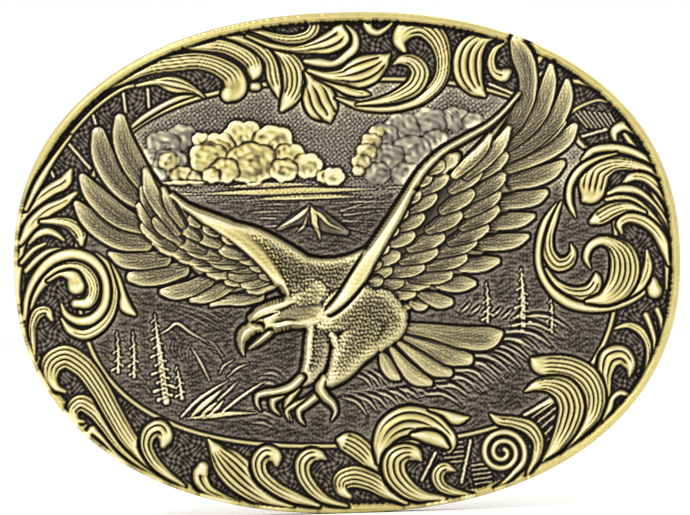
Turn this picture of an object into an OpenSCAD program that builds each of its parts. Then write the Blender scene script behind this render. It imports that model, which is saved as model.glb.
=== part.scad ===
// Oval western-style dress buckle for a 38 mm belt, bent to follow the waist.
// +Z is up as worn, the face looks along -Y and the wearer stands on the +Y side.
// The origin is the middle of the plate's back face, where the belt lies.

/* [Face plate] */
// Width of the oval across the waist
buckle_w = 93; // [90:0.5:100]
// Height of the oval
buckle_h = 69.5; // [67:0.5:74]
// Squareness of the oval, where 2 is a plain ellipse
oval_power = 2.25; // [2.1:0.05:2.4]
// Thickness of the plate behind the relief
plate_t = 2.2; // [2:0.1:3]
// Radius that the back of the plate is bent to
bend_r = 300; // [280:10:400]
// Width of the plain edge wire
rim_w = 1.2; // [1:0.1:1.6]
// Height of the edge wire above the ground of the relief
rim_h = 1.3; // [1:0.1:1.8]

/* [Relief] */
// Width of the picture that the scrollwork frames
picture_w = 75; // [73:0.5:77]
// Height of the picture that the scrollwork frames
picture_h = 51; // [49:0.5:53]
// Height of the scrollwork above the ground
scroll_h = 1.5; // [1:0.1:2]
// Height of the eagle above the ground
eagle_h = 2.6; // [2:0.1:3.4]

/* [Belt loop] */
// Width of the belt that the loop takes
belt_w = 38.1; // [37:0.1:39]
// Room beside each edge of the belt
belt_room = 1; // [0.5:0.1:1.2]
// Diameter of the loop's wire
wire_d = 3; // [2.6:0.1:3.2]
// Distance from the pivot bar to the outer bar, between their centrelines
loop_reach = 14; // [13:0.5:14.5]
// Corner radius of the wire's centreline
loop_corner_r = 3.5; // [3:0.1:4]
// Distance of the pivot from the middle of the plate
pivot_x = 19; // [18:0.5:20]
// Height of the pivot above the middle of the back face
pivot_y = 4.4; // [4.2:0.1:5]

/* [Hinge clip] */
// Length of the clip along the pivot
clip_l = 20; // [16:1:24]
// Thickness of the clip's brass strip
clip_t = 1; // [0.8:0.1:1.2]
// Width of its flange
flange_w = 5; // [4.6:0.1:5.4]
// Distance of each rivet from the clip's middle, along the pivot
rivet_z = 6; // [5:0.5:7]
// Diameter of a rivet's shank
rivet_d = 1.6; // [1.4:0.1:1.8]

/* [Hook] */
// Distance of the hook from the middle of the plate
hook_x = 29; // [27:0.5:30]
// Diameter of the peg
peg_d = 4.4; // [4:0.1:4.6]
// Length of the peg's straight part
peg_l = 5.5; // [5:0.1:6]
// Lean of the peg towards the middle of the buckle
peg_lean = 20; // [15:1:25]
// Diameter of the washer under the peg
washer_d = 11; // [10:0.5:12]
// Thickness of the washer
washer_t = 1.2; // [1:0.1:1.5]

/* [Hidden] */
$fn = 96;

fit_gap = 0.06;                       // running clearance round the loop's wire
outline_points = 120;                 // corners of each oval outline
front_r = bend_r + plate_t;           // ground of the relief
face_depth = 12;                      // more than the bent plate's whole depth
wire_r = wire_d / 2;
channel_r = wire_r + fit_gap;         // inside of the clip's channel
shell_r = channel_r + clip_t;         // outside of the clip's channel
hinge_boss_y = pivot_y - channel_r;   // flat top of the hinge boss
boss_w = 2 * shell_r + flange_w;
loop_half = belt_w / 2 + belt_room + wire_r;  // from the middle to a side leg's centreline
butt_gap = 0.3;                       // where the wire's two ends meet inside the clip
rivet_x = shell_r + flange_w / 2;
rivet_depth = 1.8;                    // into the boss
rivet_head_r = 1.35;
rivet_head_h = 0.7;
hook_boss_y = 2.4;                    // flat top of the hook boss
hook_boss_d = washer_d + 1;
tenon_d = 2.8;
tenon_depth = 1.2;                    // into the boss
collar_h = 1.8;                       // end of the peg's collar, along the peg
collar_root_r = 0.8 * peg_d;
collar_top_r = 0.56 * peg_d;
antique_brass = [0.62, 0.56, 0.28];
plain_brass = [0.75, 0.66, 0.34];
wire_brass = [0.66, 0.58, 0.32];

// Outline of the eagle with spread wings, as seen from the front, from the left wing's tip.
EAGLE = [
    [-31, 22], [-28.5, 16], [-22, 9], [-12, 5.2], [-6, 1], [-2.5, 0.2], [1, 2.5], [4.5, 6.5],
    [8, 11], [12, 15], [19, 18.5], [23.5, 22.5], [23.3, 30.3], [26, 28.5], [29.5, 27], [32, 24],
    [33, 18.3], [31, 13.5], [28.5, 9.5], [27, 5.5], [24.5, 2], [21.5, -1], [18, -4], [14.5, -6.8],
    [10, -8.2], [21.3, -10.5], [20.5, -12.5], [17, -15], [11, -17.3], [5, -15.5], [1, -15.2],
    [-2.2, -17.5], [-2.4, -21.5], [-5, -20], [-7.6, -21.8], [-12.5, -18.5], [-9, -17],
    [-6.5, -14], [-6.2, -11], [-8.5, -9.6], [-12, -10], [-15, -12.3], [-15.8, -9.5],
    [-14.5, -6.5], [-11.5, -4.7], [-16, -5.2], [-21, -5.3], [-26.5, -4.2], [-31, -1.3],
    [-33.5, 2.5], [-38, 9.5], [-37, 13.5], [-35, 20.2]
];

function signed_power(v, p) = sign(v) * pow(abs(v), p);

// Superellipse of a width and height, with outline_points corners.
function oval(w, h) = [
    for (i = [0:outline_points - 1])
        let (a = 360 * i / outline_points)
            [w / 2 * signed_power(cos(a), 2 / oval_power), h / 2 * signed_power(sin(a), 2 / oval_power)]
];

// A flat outline in the X-Z plane, run along Y through the whole depth of the face.
module face_prism(points) {
    translate([0, face_depth / 2, 0])
        rotate([90, 0, 0])
            linear_extrude(face_depth) polygon(points);
}

// Solid drum round the bend's axis, upright behind the buckle.
module drum(r) {
    translate([0, bend_r, 0])
        cylinder(r = r, h = 2 * buckle_h, center = true, $fn = 720);
}

// Everything between two radii of the bend.
module shell(r_out, r_in) {
    difference() {
        drum(r_out);
        drum(r_in);
    }
}

// Turns a shape that stands on the X-Y plane so that it stands on the back of the plate.
module stand_back(x, y, z = 0) {
    translate([x, y, z]) rotate([-90, 0, 0]) children();
}

module rivet_places() {
    for (z = [-rivet_z, rivet_z])
        stand_back(pivot_x - rivet_x, hinge_boss_y, z) children();
}

// Plate with two flat bosses on its back, for the hinge and for the hook.
module face_plate() color(antique_brass)
    difference() {
        union() {
            intersection() {
                face_prism(oval(buckle_w, buckle_h));
                shell(front_r, bend_r);
            }
            difference() {
                union() {
                    translate([pivot_x - shell_r - flange_w, -plate_t / 2, -clip_l / 2])
                        cube([boss_w, hinge_boss_y + plate_t / 2, clip_l]);
                    stand_back(-hook_x, 0)
                        cylinder(d = hook_boss_d, h = hook_boss_y);
                }
                shell(front_r + face_depth, front_r - plate_t / 2);
            }
        }
        rivet_places()
            translate([0, 0, -rivet_depth])
                cylinder(d = rivet_d, h = 2 * rivet_depth);
        stand_back(-hook_x, hook_boss_y - tenon_depth)
            cylinder(d = tenon_d, h = 2 * tenon_depth);
    }

module edge_wire() color(plain_brass)
    intersection() {
        difference() {
            face_prism(oval(buckle_w, buckle_h));
            face_prism(oval(buckle_w - 2 * rim_w, buckle_h - 2 * rim_w));
        }
        shell(front_r + rim_h, front_r);
    }

module scroll_border() color(plain_brass)
    intersection() {
        difference() {
            face_prism(oval(buckle_w - 2 * rim_w, buckle_h - 2 * rim_w));
            face_prism(oval(picture_w, picture_h));
            face_prism(EAGLE);
        }
        shell(front_r + scroll_h, front_r);
    }

module eagle() color(plain_brass)
    intersection() {
        face_prism(EAGLE);
        face_prism(oval(buckle_w - 2 * rim_w, buckle_h - 2 * rim_w));
        shell(front_r + eagle_h, front_r);
    }

// Brass strip folded over the pivot bar, with one flange that is riveted to the boss.
module hinge_clip() color(plain_brass)
    difference() {
        translate([pivot_x, pivot_y, -clip_l / 2])
            linear_extrude(clip_l)
                difference() {
                    union() {
                        circle(r = shell_r);
                        translate([-shell_r, -channel_r]) square([2 * shell_r, channel_r]);
                        translate([-shell_r - flange_w, -channel_r]) square([flange_w + clip_t, clip_t]);
                    }
                    circle(r = channel_r);
                    translate([-channel_r, -2 * channel_r]) square([2 * channel_r, 2 * channel_r]);
                    translate([-shell_r, -channel_r - shell_r]) square([2 * shell_r, shell_r]);
                }
        rivet_places()
            cylinder(d = rivet_d, h = 4 * clip_t, center = true);
    }

module rivet() {
    cap_r = (pow(rivet_head_r, 2) + pow(rivet_head_h, 2)) / (2 * rivet_head_h);
    translate([0, 0, -rivet_depth])
        cylinder(d = rivet_d, h = rivet_depth + clip_t);
    translate([0, 0, clip_t])
        intersection() {
            translate([0, 0, rivet_head_h - cap_r]) sphere(r = cap_r);
            cylinder(r = 2 * rivet_head_r, h = 2 * rivet_head_h);
        }
}

module hinge_rivets() color(plain_brass)
    rivet_places() rivet();

// Straight wire along X from the origin.
module wire_x(length) {
    rotate([0, 90, 0]) cylinder(r = wire_r, h = length);
}

module wire_corner() {
    rotate([-90, 0, 0])
        rotate_extrude(angle = 90)
            translate([loop_corner_r, 0]) circle(r = wire_r);
}

// Half of the loop, above the X-Y plane through its middle.
module half_loop() {
    straight = loop_half - loop_corner_r;
    translate([0, 0, butt_gap / 2]) cylinder(r = wire_r, h = straight - butt_gap / 2);
    translate([loop_reach, 0, 0]) cylinder(r = wire_r, h = straight);
    translate([loop_corner_r, 0, loop_half]) wire_x(loop_reach - 2 * loop_corner_r);
    translate([loop_reach - loop_corner_r, 0, straight]) mirror([0, 0, 1]) wire_corner();
    translate([loop_corner_r, 0, straight]) mirror([1, 0, 0]) mirror([0, 0, 1]) wire_corner();
}

module belt_loop() color(wire_brass)
    translate([pivot_x, pivot_y, 0]) {
        half_loop();
        mirror([0, 0, 1]) half_loop();
    }

module hook_washer() color(plain_brass)
    stand_back(-hook_x, hook_boss_y)
        difference() {
            rotate_extrude()
                polygon([[0, 0], [washer_d / 2, 0], [washer_d / 2, washer_t / 2],
                    [washer_d / 2 - washer_t, washer_t], [0, washer_t]]);
            translate([0, 0, -washer_t]) cylinder(d = tenon_d, h = 3 * washer_t);
        }

// Peg with a coned collar, leaning towards the middle, and a tenon square to the plate.
module hook_peg() color(wire_brass)
    stand_back(-hook_x, hook_boss_y + washer_t) {
        translate([0, 0, -washer_t - tenon_depth])
            cylinder(d = tenon_d, h = washer_t + tenon_depth);
        intersection() {
            rotate([0, peg_lean, 0]) {
                translate([0, 0, -collar_h])
                    cylinder(r1 = collar_root_r, r2 = collar_top_r, h = 2 * collar_h);
                cylinder(d = peg_d, h = collar_h + peg_l);
                translate([0, 0, collar_h + peg_l]) sphere(d = peg_d);
            }
            translate([-washer_d, -washer_d, 0]) cube([2 * washer_d, 2 * washer_d, 4 * peg_l]);
        }
    }

face_plate();
edge_wire();
scroll_border();
eagle();
hinge_clip();
hinge_rivets();
belt_loop();
hook_washer();
hook_peg();
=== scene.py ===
import math
import bpy
import numpy as np
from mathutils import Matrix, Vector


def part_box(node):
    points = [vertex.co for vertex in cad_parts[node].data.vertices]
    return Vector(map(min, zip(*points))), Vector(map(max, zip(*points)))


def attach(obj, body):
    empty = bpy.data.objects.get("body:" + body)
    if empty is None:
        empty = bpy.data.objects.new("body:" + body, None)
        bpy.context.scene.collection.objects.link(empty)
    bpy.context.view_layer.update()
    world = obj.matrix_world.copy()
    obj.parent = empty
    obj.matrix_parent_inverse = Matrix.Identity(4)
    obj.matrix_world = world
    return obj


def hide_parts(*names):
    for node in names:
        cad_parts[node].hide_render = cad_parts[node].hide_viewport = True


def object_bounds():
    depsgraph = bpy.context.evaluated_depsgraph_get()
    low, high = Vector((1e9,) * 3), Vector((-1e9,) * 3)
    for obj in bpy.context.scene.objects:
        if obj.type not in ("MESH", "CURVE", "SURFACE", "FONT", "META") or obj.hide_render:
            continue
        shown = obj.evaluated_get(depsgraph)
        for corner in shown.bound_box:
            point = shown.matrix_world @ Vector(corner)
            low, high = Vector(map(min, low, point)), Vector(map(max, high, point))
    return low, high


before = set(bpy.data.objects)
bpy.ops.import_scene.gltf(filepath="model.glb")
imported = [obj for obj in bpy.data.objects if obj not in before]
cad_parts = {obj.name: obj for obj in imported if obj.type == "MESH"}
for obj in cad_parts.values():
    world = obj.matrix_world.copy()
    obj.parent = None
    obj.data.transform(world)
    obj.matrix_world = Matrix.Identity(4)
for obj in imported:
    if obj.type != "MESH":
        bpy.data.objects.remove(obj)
cad_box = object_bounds()

# An oval antique-brass dress buckle. The relief on its face is carved on a fine grid, in millimetres:
# every leaf, feather and puff of cloud is a stroke with a spine and half-widths. The carved heights
# become closed meshes on the bent plate, and the colour of the brass follows how exposed a spot is.
# The colour also carries painted shadows round the strokes and painted highlights on clouds, feathers and
# the thigh.

MM = 0.001

# ---- Plate, measured from the frame -------------------------------------------------------------
plate_low, plate_high = [np.array(corner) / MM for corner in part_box("face_plate")]
HALF_W = (plate_high[0] - plate_low[0]) / 2
HALF_H = (plate_high[2] - plate_low[2]) / 2
PLATE_T = -plate_low[1]
END_RISE = plate_high[1]
BEND_R = (HALF_W ** 2 + END_RISE ** 2) / (2 * END_RISE)
OVAL_POWER = 2.25

# ---- Carving ------------------------------------------------------------------------------------
STEP = 0.12                # pitch of the grid
PATH_STEP = 0.15           # pitch of the discs that sweep a stroke
DISC_BATCH = 8             # discs measured together
THINNEST = 0.05            # least half-width of a stroke
STEEPEST = 1.9             # rise over run of the steepest wall
PAINTED_SHADOW = 0.05, 0.3         # how far from a stroke its painted shadow is full, and gone
xs = np.arange(-HALF_W - STEP, HALF_W + 2 * STEP, STEP)
zs = np.arange(-HALF_H - STEP, HALF_H + 2 * STEP, STEP)
X, Z = np.meshgrid(xs, zs)

# Heights over the plate's front.
DEEPEST = 0.05             # floor of the gutters round the strokes
LEAF_FOOT = 0.08
POCKET = 0.12              # floor between the scrolls
PICTURE = 0.30             # floor of the sky and the land
SCROLL_TOP = 1.30
RIM_FOOT = 0.35            # where the plain edge begins and ends
RIM_TOP = 1.25

RIM_W = 1.35
RIM_SHINE = 0.72
FULLER = 1.18              # how much wider every leaf is than its half-widths say
PLUMPER = 1.14             # and every feather
STEM = 0.3                 # where along a leaf its flutes begin
BULB = 0.84                # and where they end
FLUTE = (0, 0.14, 0.76, 1), (0, 0.5, 1, 0)
BARB_PITCH = 0.42
QUILL = 0.12               # half-width of a feather's quill
VANE_SHINE = 0.88
LIT_SHINE = 1.5            # of a feather's rim under its painted highlight, where it is brightest
MATTING = 0.5              # pitch of the punch marks and of the stipple
DOWN_PITCH = 0.62          # pitch of the small feathers on the body


def smooth(value, start, end):
    """0 up to start, 1 from end on, and an even curve between."""
    u = np.clip((value - start) / (end - start), 0, 1)
    return u * u * (3 - 2 * u)


def oval_edge(half_w, half_h, power):
    """Distance inside an oval, positive within it and true near its edge."""
    a = np.abs(X / half_w)
    b = np.abs(Z / half_h)
    level = (a ** power + b ** power) ** (1 / power)
    gx = (a / np.maximum(level, 1e-6)) ** (power - 1) / half_w
    gz = (b / np.maximum(level, 1e-6)) ** (power - 1) / half_h
    return (1 - level) / np.maximum(np.hypot(gx, gz), 1e-6)


def pebbles(pitch, seed):
    """Domes round scattered points, 1 at each point and 0 where two domes meet."""
    rng = np.random.default_rng(seed)
    i = np.floor(X / pitch).astype(int)
    k = np.floor(Z / pitch).astype(int)
    i0, k0 = i.min() - 1, k.min() - 1
    jitter = rng.random((2, k.max() - k0 + 2, i.max() - i0 + 2)) * 0.8 + 0.1
    first = np.full(X.shape, 9.0)
    second = np.full(X.shape, 9.0)
    for di in (-1, 0, 1):
        for dk in (-1, 0, 1):
            jx, jz = jitter[:, k - k0 + dk, i - i0 + di]
            d = np.hypot((i + di + jx) * pitch - X, (k + dk + jz) * pitch - Z)
            second = np.minimum(second, np.maximum(first, d))
            first = np.minimum(first, d)
    return np.clip((second - first) / (0.55 * pitch), 0, 1)


def punched(pitch, slant):
    """Rows of small domes on a slanting square grid, as a matting punch leaves them."""
    a = X * math.cos(slant) + Z * math.sin(slant) + 0.12 * np.sin(1.7 * Z)
    b = Z * math.cos(slant) - X * math.sin(slant) + 0.12 * np.sin(1.3 * X)
    return 0.5 + 0.25 * (np.cos(2 * math.pi * a / pitch) + np.cos(2 * math.pi * b / pitch))


STIPPLE = pebbles(MATTING, 3)
PUNCHED = 0.75 * punched(MATTING, 0.7) + 0.25 * STIPPLE
across = 0.6 * X + 0.8 * Z
along = 0.8 * X - 0.6 * Z
tufts = np.sin(2 * math.pi * across / DOWN_PITCH + 1.3 * np.sin(2.9 * along))
tufts = tufts * np.sin(5.5 * along + 2 * across)
DOWN = 0.3 * tufts + 0.5 * STIPPLE + 0.25    # the small feathers on the body
LUMPS = 0.5 * np.sin(2.2 * X + 1.3 * Z + 1.3 * np.sin(1.1 * Z))
LUMPS += 0.5 * np.sin(2.6 * Z - 1.2 * X + 1.6 * np.sin(0.9 * X))
STREAKS = np.sin(4.6 * X + 3.6 * Z + 2.5 * np.sin(0.9 * X - 0.7 * Z)) * np.sin(1.1 * X - 1.9 * Z)


class Layer:
    """Heights above the plate's front, how polished each spot is together with the painted shadows and
    highlights on it, and how yellow it is.
    """
    def __init__(self, floor):
        self.height = np.full(X.shape, floor)
        self.polish_and_painted_light = np.full(X.shape, 0.35)
        self.warm = np.full(X.shape, 0.2)
        self.owner = np.zeros(X.shape, int)


def window_round(x, z, reach):
    """Rows and columns of the grid within reach of some points."""
    cols = np.searchsorted(xs, (x.min() - reach, x.max() + reach))
    rows = np.searchsorted(zs, (z.min() - reach, z.max() + reach))
    return slice(*rows), slice(*cols)


class Sweep:
    """The grid near a stroke: edge (distance inside it), travel (0 to 1), side (off its spine)."""
    def __init__(self, points, margin):
        p = np.array(points, float)
        legs = np.hypot(*np.diff(p[:, :2], axis=0).T)
        knots = np.concatenate([[0], np.cumsum(legs)])
        slope = np.gradient(p, knots, axis=0)
        rows = []
        for n, leg in enumerate(legs):
            u = np.arange(0, 1, 1 / math.ceil(leg / PATH_STEP))[:, None]
            rows.append((1 + 2 * u) * (1 - u) ** 2 * p[n] + u * (1 - u) ** 2 * leg * slope[n]
                        + u * u * (3 - 2 * u) * p[n + 1] - u * u * (1 - u) * leg * slope[n + 1])
        rows = np.vstack(rows + [p[-1:]])
        x, z, w = rows.T
        w = np.maximum(w, THINNEST)
        tangent = np.gradient(rows[:, :2], axis=0)
        tangent /= np.maximum(np.hypot(*tangent.T), 1e-9)[:, None]
        run = np.concatenate([[0], np.cumsum(np.hypot(np.diff(x), np.diff(z)))])
        self.rows, self.cols = window_round(x, z, w.max() + margin)
        self.x = X[self.rows, self.cols]
        self.z = Z[self.rows, self.cols]
        self.edge = np.full(self.x.shape, -9.0)
        nearest = np.zeros(self.x.shape, int)
        for first in range(0, len(x), DISC_BATCH):
            batch = slice(first, first + DISC_BATCH)
            near_rows, near_cols = window_round(x[batch], z[batch], w[batch].max() + margin)
            part = (slice(near_rows.start - self.rows.start, near_rows.stop - self.rows.start),
                    slice(near_cols.start - self.cols.start, near_cols.stop - self.cols.start))
            dx = X[near_rows, near_cols, None] - x[batch]
            dz = Z[near_rows, near_cols, None] - z[batch]
            depth = w[batch] - np.sqrt(dx * dx + dz * dz)
            best = depth.argmax(2)
            deepest = np.take_along_axis(depth, best[..., None], 2)[..., 0]
            better = deepest > self.edge[part]
            self.edge[part][better] = deepest[better]
            nearest[part][better] = best[better] + first
        dx = self.x - x[nearest]
        dz = self.z - z[nearest]
        tx, tz = np.moveaxis(tangent[nearest], 2, 0)
        self.length = run[-1]
        self.travel = (run[nearest] + dx * tx + dz * tz) / self.length
        self.side = dx * tz - dz * tx
        self.width = w[nearest]

    def lay(self, layer, height, polish_and_painted_light, warm, owner, gutter, floor=DEEPEST, shade=0.8):
        """Puts the stroke on a layer and cuts a narrow gutter round it, with a painted shadow round it,
        darker by shade.

        With no gutter the stroke swells out of what is there instead of covering it, and paints no shadow.
        """
        window = (self.rows, self.cols)
        old = layer.height[window]
        outside = np.maximum(-self.edge, 0)
        around = np.minimum(old, np.maximum(old - gutter, floor) + STEEPEST * outside)
        # Painted shadow: what lies round the stroke is darkened, by shade at most.
        shadow = 1 - shade * (1 - smooth(outside, *PAINTED_SHADOW))
        if gutter == 0:
            height = np.maximum(old, height)
            around, shadow = old, 1.0
        cover = np.clip(self.edge / STEP + 0.5, 0, 1)
        layer.height[window] = around + (height - around) * cover
        under_painted_shadow = layer.polish_and_painted_light[window] * shadow
        layer.polish_and_painted_light[window] = under_painted_shadow + (polish_and_painted_light - under_painted_shadow) * cover
        layer.warm[window] += (warm - layer.warm[window]) * cover
        if owner:
            layer.owner[window][self.edge > 0] = owner


def rise(edge, height):
    """A wall that starts at the steepest slope and levels off at height."""
    return height * (1 - np.exp(-STEEPEST * np.maximum(edge, 0) / height))


def leaf(flutes, points):
    """One lobe of scrollwork: a smooth stem, a fluted middle and a smooth bulb at its tip."""
    s = Sweep([(x, z, FULLER * w) for x, z, w in points], margin=0.6)
    height = LEAF_FOOT + rise(s.edge, SCROLL_TOP - LEAF_FOOT)
    if flutes:
        u = np.clip(s.side / s.width, -1, 1)
        pitch = 2 * s.width / flutes
        ridge = np.interp((flutes * (u + 1) / 2) % 1, *FLUTE)
        before_bulb = 1 - smooth(s.travel, BULB, BULB + 0.1)
        fade = smooth(s.travel, STEM - 0.15, STEM + 0.15) * before_bulb
        fade = (0.25 + 0.75 * fade) * smooth(pitch, 0.2, 0.36) * before_bulb
        height = height - np.minimum(0.5, 0.9 * pitch) * (1 - ridge) * fade
        height = height - 0.1 * (1 - u * u) * fade
    s.lay(face, height, polish_and_painted_light=1.0, warm=0.75, owner=1, gutter=0.4)


def feather(points, base, top, owner, side, warm=0.45):
    """A feather from root to tip: a hollow vane with slanting barbs, and a rim.

    The rim carries a painted highlight at the tip and along the edge that side picks, 1 or -1.
    """
    s = Sweep([(x, z, PLUMPER * w) for x, z, w in points], margin=0.45)
    u = np.clip(s.side / s.width, -1, 1)
    height = base + rise(s.edge, (top - base) * (0.55 + 0.45 * np.clip(s.travel, 0, 1)))
    vane = smooth(s.edge, 0.12, 0.4)
    height = height - 0.17 * vane + 0.12 * side * u
    run = s.travel * s.length
    barbs = np.cos(2 * math.pi * (np.abs(s.side) - 0.3 * run + 0.1 * np.sin(3 * run)) / BARB_PITCH)
    height = height + 0.035 * vane * barbs + 0.05 * vane * (STIPPLE[s.rows, s.cols] - 0.5)
    height = height + 0.05 * vane * np.exp(-(s.side / QUILL) ** 2)
    # Painted highlight: the rim is brightened at the tip and along one edge.
    lit = np.maximum(smooth(side * u, -0.6, 0.7), smooth(s.travel, 0.8, 0.95))
    glow = VANE_SHINE + (LIT_SHINE - VANE_SHINE) * (1 - vane) * smooth(s.travel, 0.1, 0.4) * lit
    s.lay(bird, height, glow, warm + 0.2 * (1 - vane), owner, gutter=0.16, shade=0.55)


def skin(layer, points, base, top, owner, grain=0.0, polish_and_painted_light=0.7, warm=0.5, gutter=0.3, power=0.0):
    """A rounded form, smooth or covered with small domed feathers."""
    s = Sweep(points, margin=0.6)
    height = base + rise(s.edge, top - base)
    if power:
        height = base + (top - base) * np.clip(s.edge / s.width, 0, 1) ** power
        height = np.minimum(height, base + rise(s.edge, 2 * (top - base)))
    window = (s.rows, s.cols)
    height = height + grain * (DOWN[window] - 0.5) * smooth(s.edge, 0.05, 0.3)
    s.lay(layer, height, polish_and_painted_light, warm, owner, gutter)


def line(layer, points, rise_by, polish_and_painted_light, warm):
    """A thin line on whatever is there, raised, or sunk where rise_by is below 0."""
    s = Sweep(points, margin=0.3)
    window = (s.rows, s.cols)
    lift = smooth(s.edge, 0.0, 0.14)
    old = layer.height[window]
    trench = 0.5 * rise_by * smooth(-s.edge, 0.0, 0.06) * (1 - smooth(-s.edge, 0.12, 0.28))
    layer.height[window] = old + rise_by * lift - trench
    layer.polish_and_painted_light[window] += (polish_and_painted_light - layer.polish_and_painted_light[window]) * lift
    layer.warm[window] += (warm - layer.warm[window]) * lift


face = Layer(POCKET)
bird = Layer(DEEPEST)

# The ground: wormy matting between the scrolls, and rippled land under a punched sky in the picture.
PICTURE_HALF_W = 37.6
PICTURE_HALF_H = 25.4
PICTURE_POWER = 2.65
in_picture = oval_edge(PICTURE_HALF_W, PICTURE_HALF_H, PICTURE_POWER)
inside = smooth(in_picture, -0.1, 0.3)
from_outline = oval_edge(HALF_W, HALF_H, OVAL_POWER)
worms = np.sin(5.6 * X + 2.2 * np.sin(2.1 * Z)) * np.sin(5.2 * Z + 2.2 * np.sin(1.9 * X))
face.height += (0.13 * worms + 0.05 * STIPPLE) * (1 - inside)
in_sky = smooth(Z, 8.0, 10.5)
ripples = np.sin(6.6 * Z + 1.6 * np.sin(1.3 * X) + 2 * np.sin(0.9 * X + 1.1 * Z))
ripples = ripples * np.sin(1.9 * X + 2 * np.sin(2.3 * Z))
grain = (0.05 + 0.07 * in_sky) * (PUNCHED - 0.5) + 0.05 * (STIPPLE - 0.5)
face.height += inside * 0.05 * (1 - in_sky) * ripples
face.height += inside * (PICTURE - POCKET + grain)
face.polish_and_painted_light = 0.58 + 0.17 * inside + 0.6 * inside * in_sky
face.warm = np.full(X.shape, 0.15)

# ---- Picture ------------------------------------------------------------------------------------
# Discs of a billow, in shares of its radius: how far along, how far up, half-width.
BILLOW = ((-0.45, -0.1, 0.66), (-0.3, 0.1, 0.86), (0, 0.02, 0.96), (0.32, 0.12, 0.82), (0.5, -0.08, 0.64))
HATCH_DEPTH = 0.022


def puff(x, z, r, top, warm, polish_and_painted_light, shade):
    """A billow of cloud: scalloped above, hatched across, and painted with light, bright above and at the
    left and dull below.
    """
    spine = [(x + along * r, z + up * r, w * r) for along, up, w in BILLOW]
    s = Sweep(spine, margin=0.4)
    window = (s.rows, s.cols)
    turn = np.arctan2(s.z - z, s.x - x)
    reach = np.hypot(s.x - x, s.z - z) / r
    s.edge = s.edge - 0.12 * r * (1 - np.abs(np.sin(3 * turn + x))) * smooth(reach, 0.5, 0.9)
    height = PICTURE + (top - PICTURE) * (0.75 + 0.25 * np.clip(s.edge / r, 0, 1) ** 0.5)
    whorl = np.sin(5 * r * reach + 1.8 * LUMPS[window] + 1.2 * turn)
    height = height + HATCH_DEPTH * (0.8 * whorl + STREAKS[window]) + 0.04 * LUMPS[window]
    # Painted light: brighter and yellower towards the billow's top left; it is also duller near its outline.
    light = smooth(0.6 * (s.z - z) / r - 0.25 * (s.x - x) / r + 0.2 * LUMPS[window], -0.8, 0.5)
    inner = polish_and_painted_light * (0.45 + 0.55 * smooth(s.edge, 0.0, 0.5))
    s.lay(face, height, inner * (0.6 + 0.4 * light), warm * (0.65 + 0.35 * light), owner=0,
          gutter=0.12, floor=PICTURE - 0.05, shade=shade)


def cloud(billows, top, warm, polish_and_painted_light, shade):
    """Billows laid from the top down, so that each stands before the one above it."""
    for x, z, r in sorted(billows, key=lambda billow: -billow[1]):
        puff(x, z, r, top, warm, polish_and_painted_light, shade)


# Billows as x, z and radius.
DIM_CLOUDS = [
    (18, 19, 1.3), (15.5, 19.4, 1.8), (12, 19, 2.2), (8.2, 18.2, 2.3), (12.8, 16.6, 1.6),
    (5.6, 17.2, 2.0), (9.4, 15, 2.5), (6, 14, 2.4), (8.6, 11.9, 1.9), (4.6, 12.2, 1.7), (-22.4, 18, 1.9),
    (-25, 16.9, 2.2), (-27, 15.4, 1.3), (-24.2, 14.6, 2.1), (-26, 12.9, 1.2),
]
EDGE_CLOUDS = [
    (4.7, 17.9, 1.0), (3.9, 16.6, 1.3), (3.2, 15.2, 1.3), (2.4, 13.8, 1.2), (2.0, 12.7, 0.8),
    (-24.3, 14.7, 1.4), (-22.6, 12.6, 1.5), (-20.4, 12.3, 1.3),
]
BRIGHT_CLOUDS = [
    (-19.8, 17.6, 1.1), (-17.2, 16.6, 2.0), (-13.9, 17.6, 2.6), (-9.8, 16.8, 2.6), (-18.8, 15, 2.4),
    (-7.6, 14.6, 2.2), (-16.6, 13.2, 1.9), (-12.8, 14, 3.2), (-5.1, 13.5, 1.9), (-8.4, 13.0, 1.8),
    (-18.4, 12.6, 1.2), (-1.5, 11.9, 1.4), (-2.8, 12.0, 1.0),
]
cloud(DIM_CLOUDS, top=0.44, warm=0.12, polish_and_painted_light=2.2, shade=0.08)
cloud(EDGE_CLOUDS, top=0.5, warm=0.7, polish_and_painted_light=2.7, shade=0.2)
cloud(BRIGHT_CLOUDS, top=0.75, warm=0.85, polish_and_painted_light=2.7, shade=0.5)

# Bands of haze over the horizon, as left x, right x, z, half-width and warmth.
HAZE = [
    (-16.5, -4.6, 11, 0.4, 0.7), (-20.5, 4.4, 10.1, 0.5, 0.85), (-13, 2.2, 9.2, 0.4, 0.9),
    (-19, 6.5, 9.0, 0.14, 0.3), (-12.5, -6.5, 8.3, 0.13, 0.3), (-2, 7.4, 8.3, 0.15, 0.3),
    (-14, -7.6, 7.3, 0.14, 0.3), (-1.4, 6.8, 7.5, 0.13, 0.3), (-13.2, -8.8, 6.4, 0.13, 0.3),
    (-27, -19, 11.7, 0.3, 0.6), (-26, -20, 10.1, 0.14, 0.3), (5.4, 9.5, 10.2, 0.13, 0.3),
]
for x0, x1, z, w, warm in HAZE:
    line(face, [(x0, z, 0.05), ((x0 + x1) / 2, z + 0.08, w), (x1, z, 0.05)], 0.16, 1.15, warm)
# Slanting strokes on both sides of the peak, as x and z of both ends.
SLANTS = [
    (-0.6, 7.2, 6.4, 9.2), (-0.2, 6.6, 6.4, 7.2), (-0.4, 5.8, 5.8, 5.4), (-0.8, 5.2, 4.6, 3.6),
    (-1.2, 4.6, 3.2, 2.2), (-9.8, 6.4, -14.6, 6.8), (-9.6, 5.4, -13.2, 5.2),
]
for x0, z0, x1, z1 in SLANTS:
    line(face, [(x0, z0, 0.16), (x1, z1, 0.05)], 0.15, 1.1, 0.25)

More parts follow.
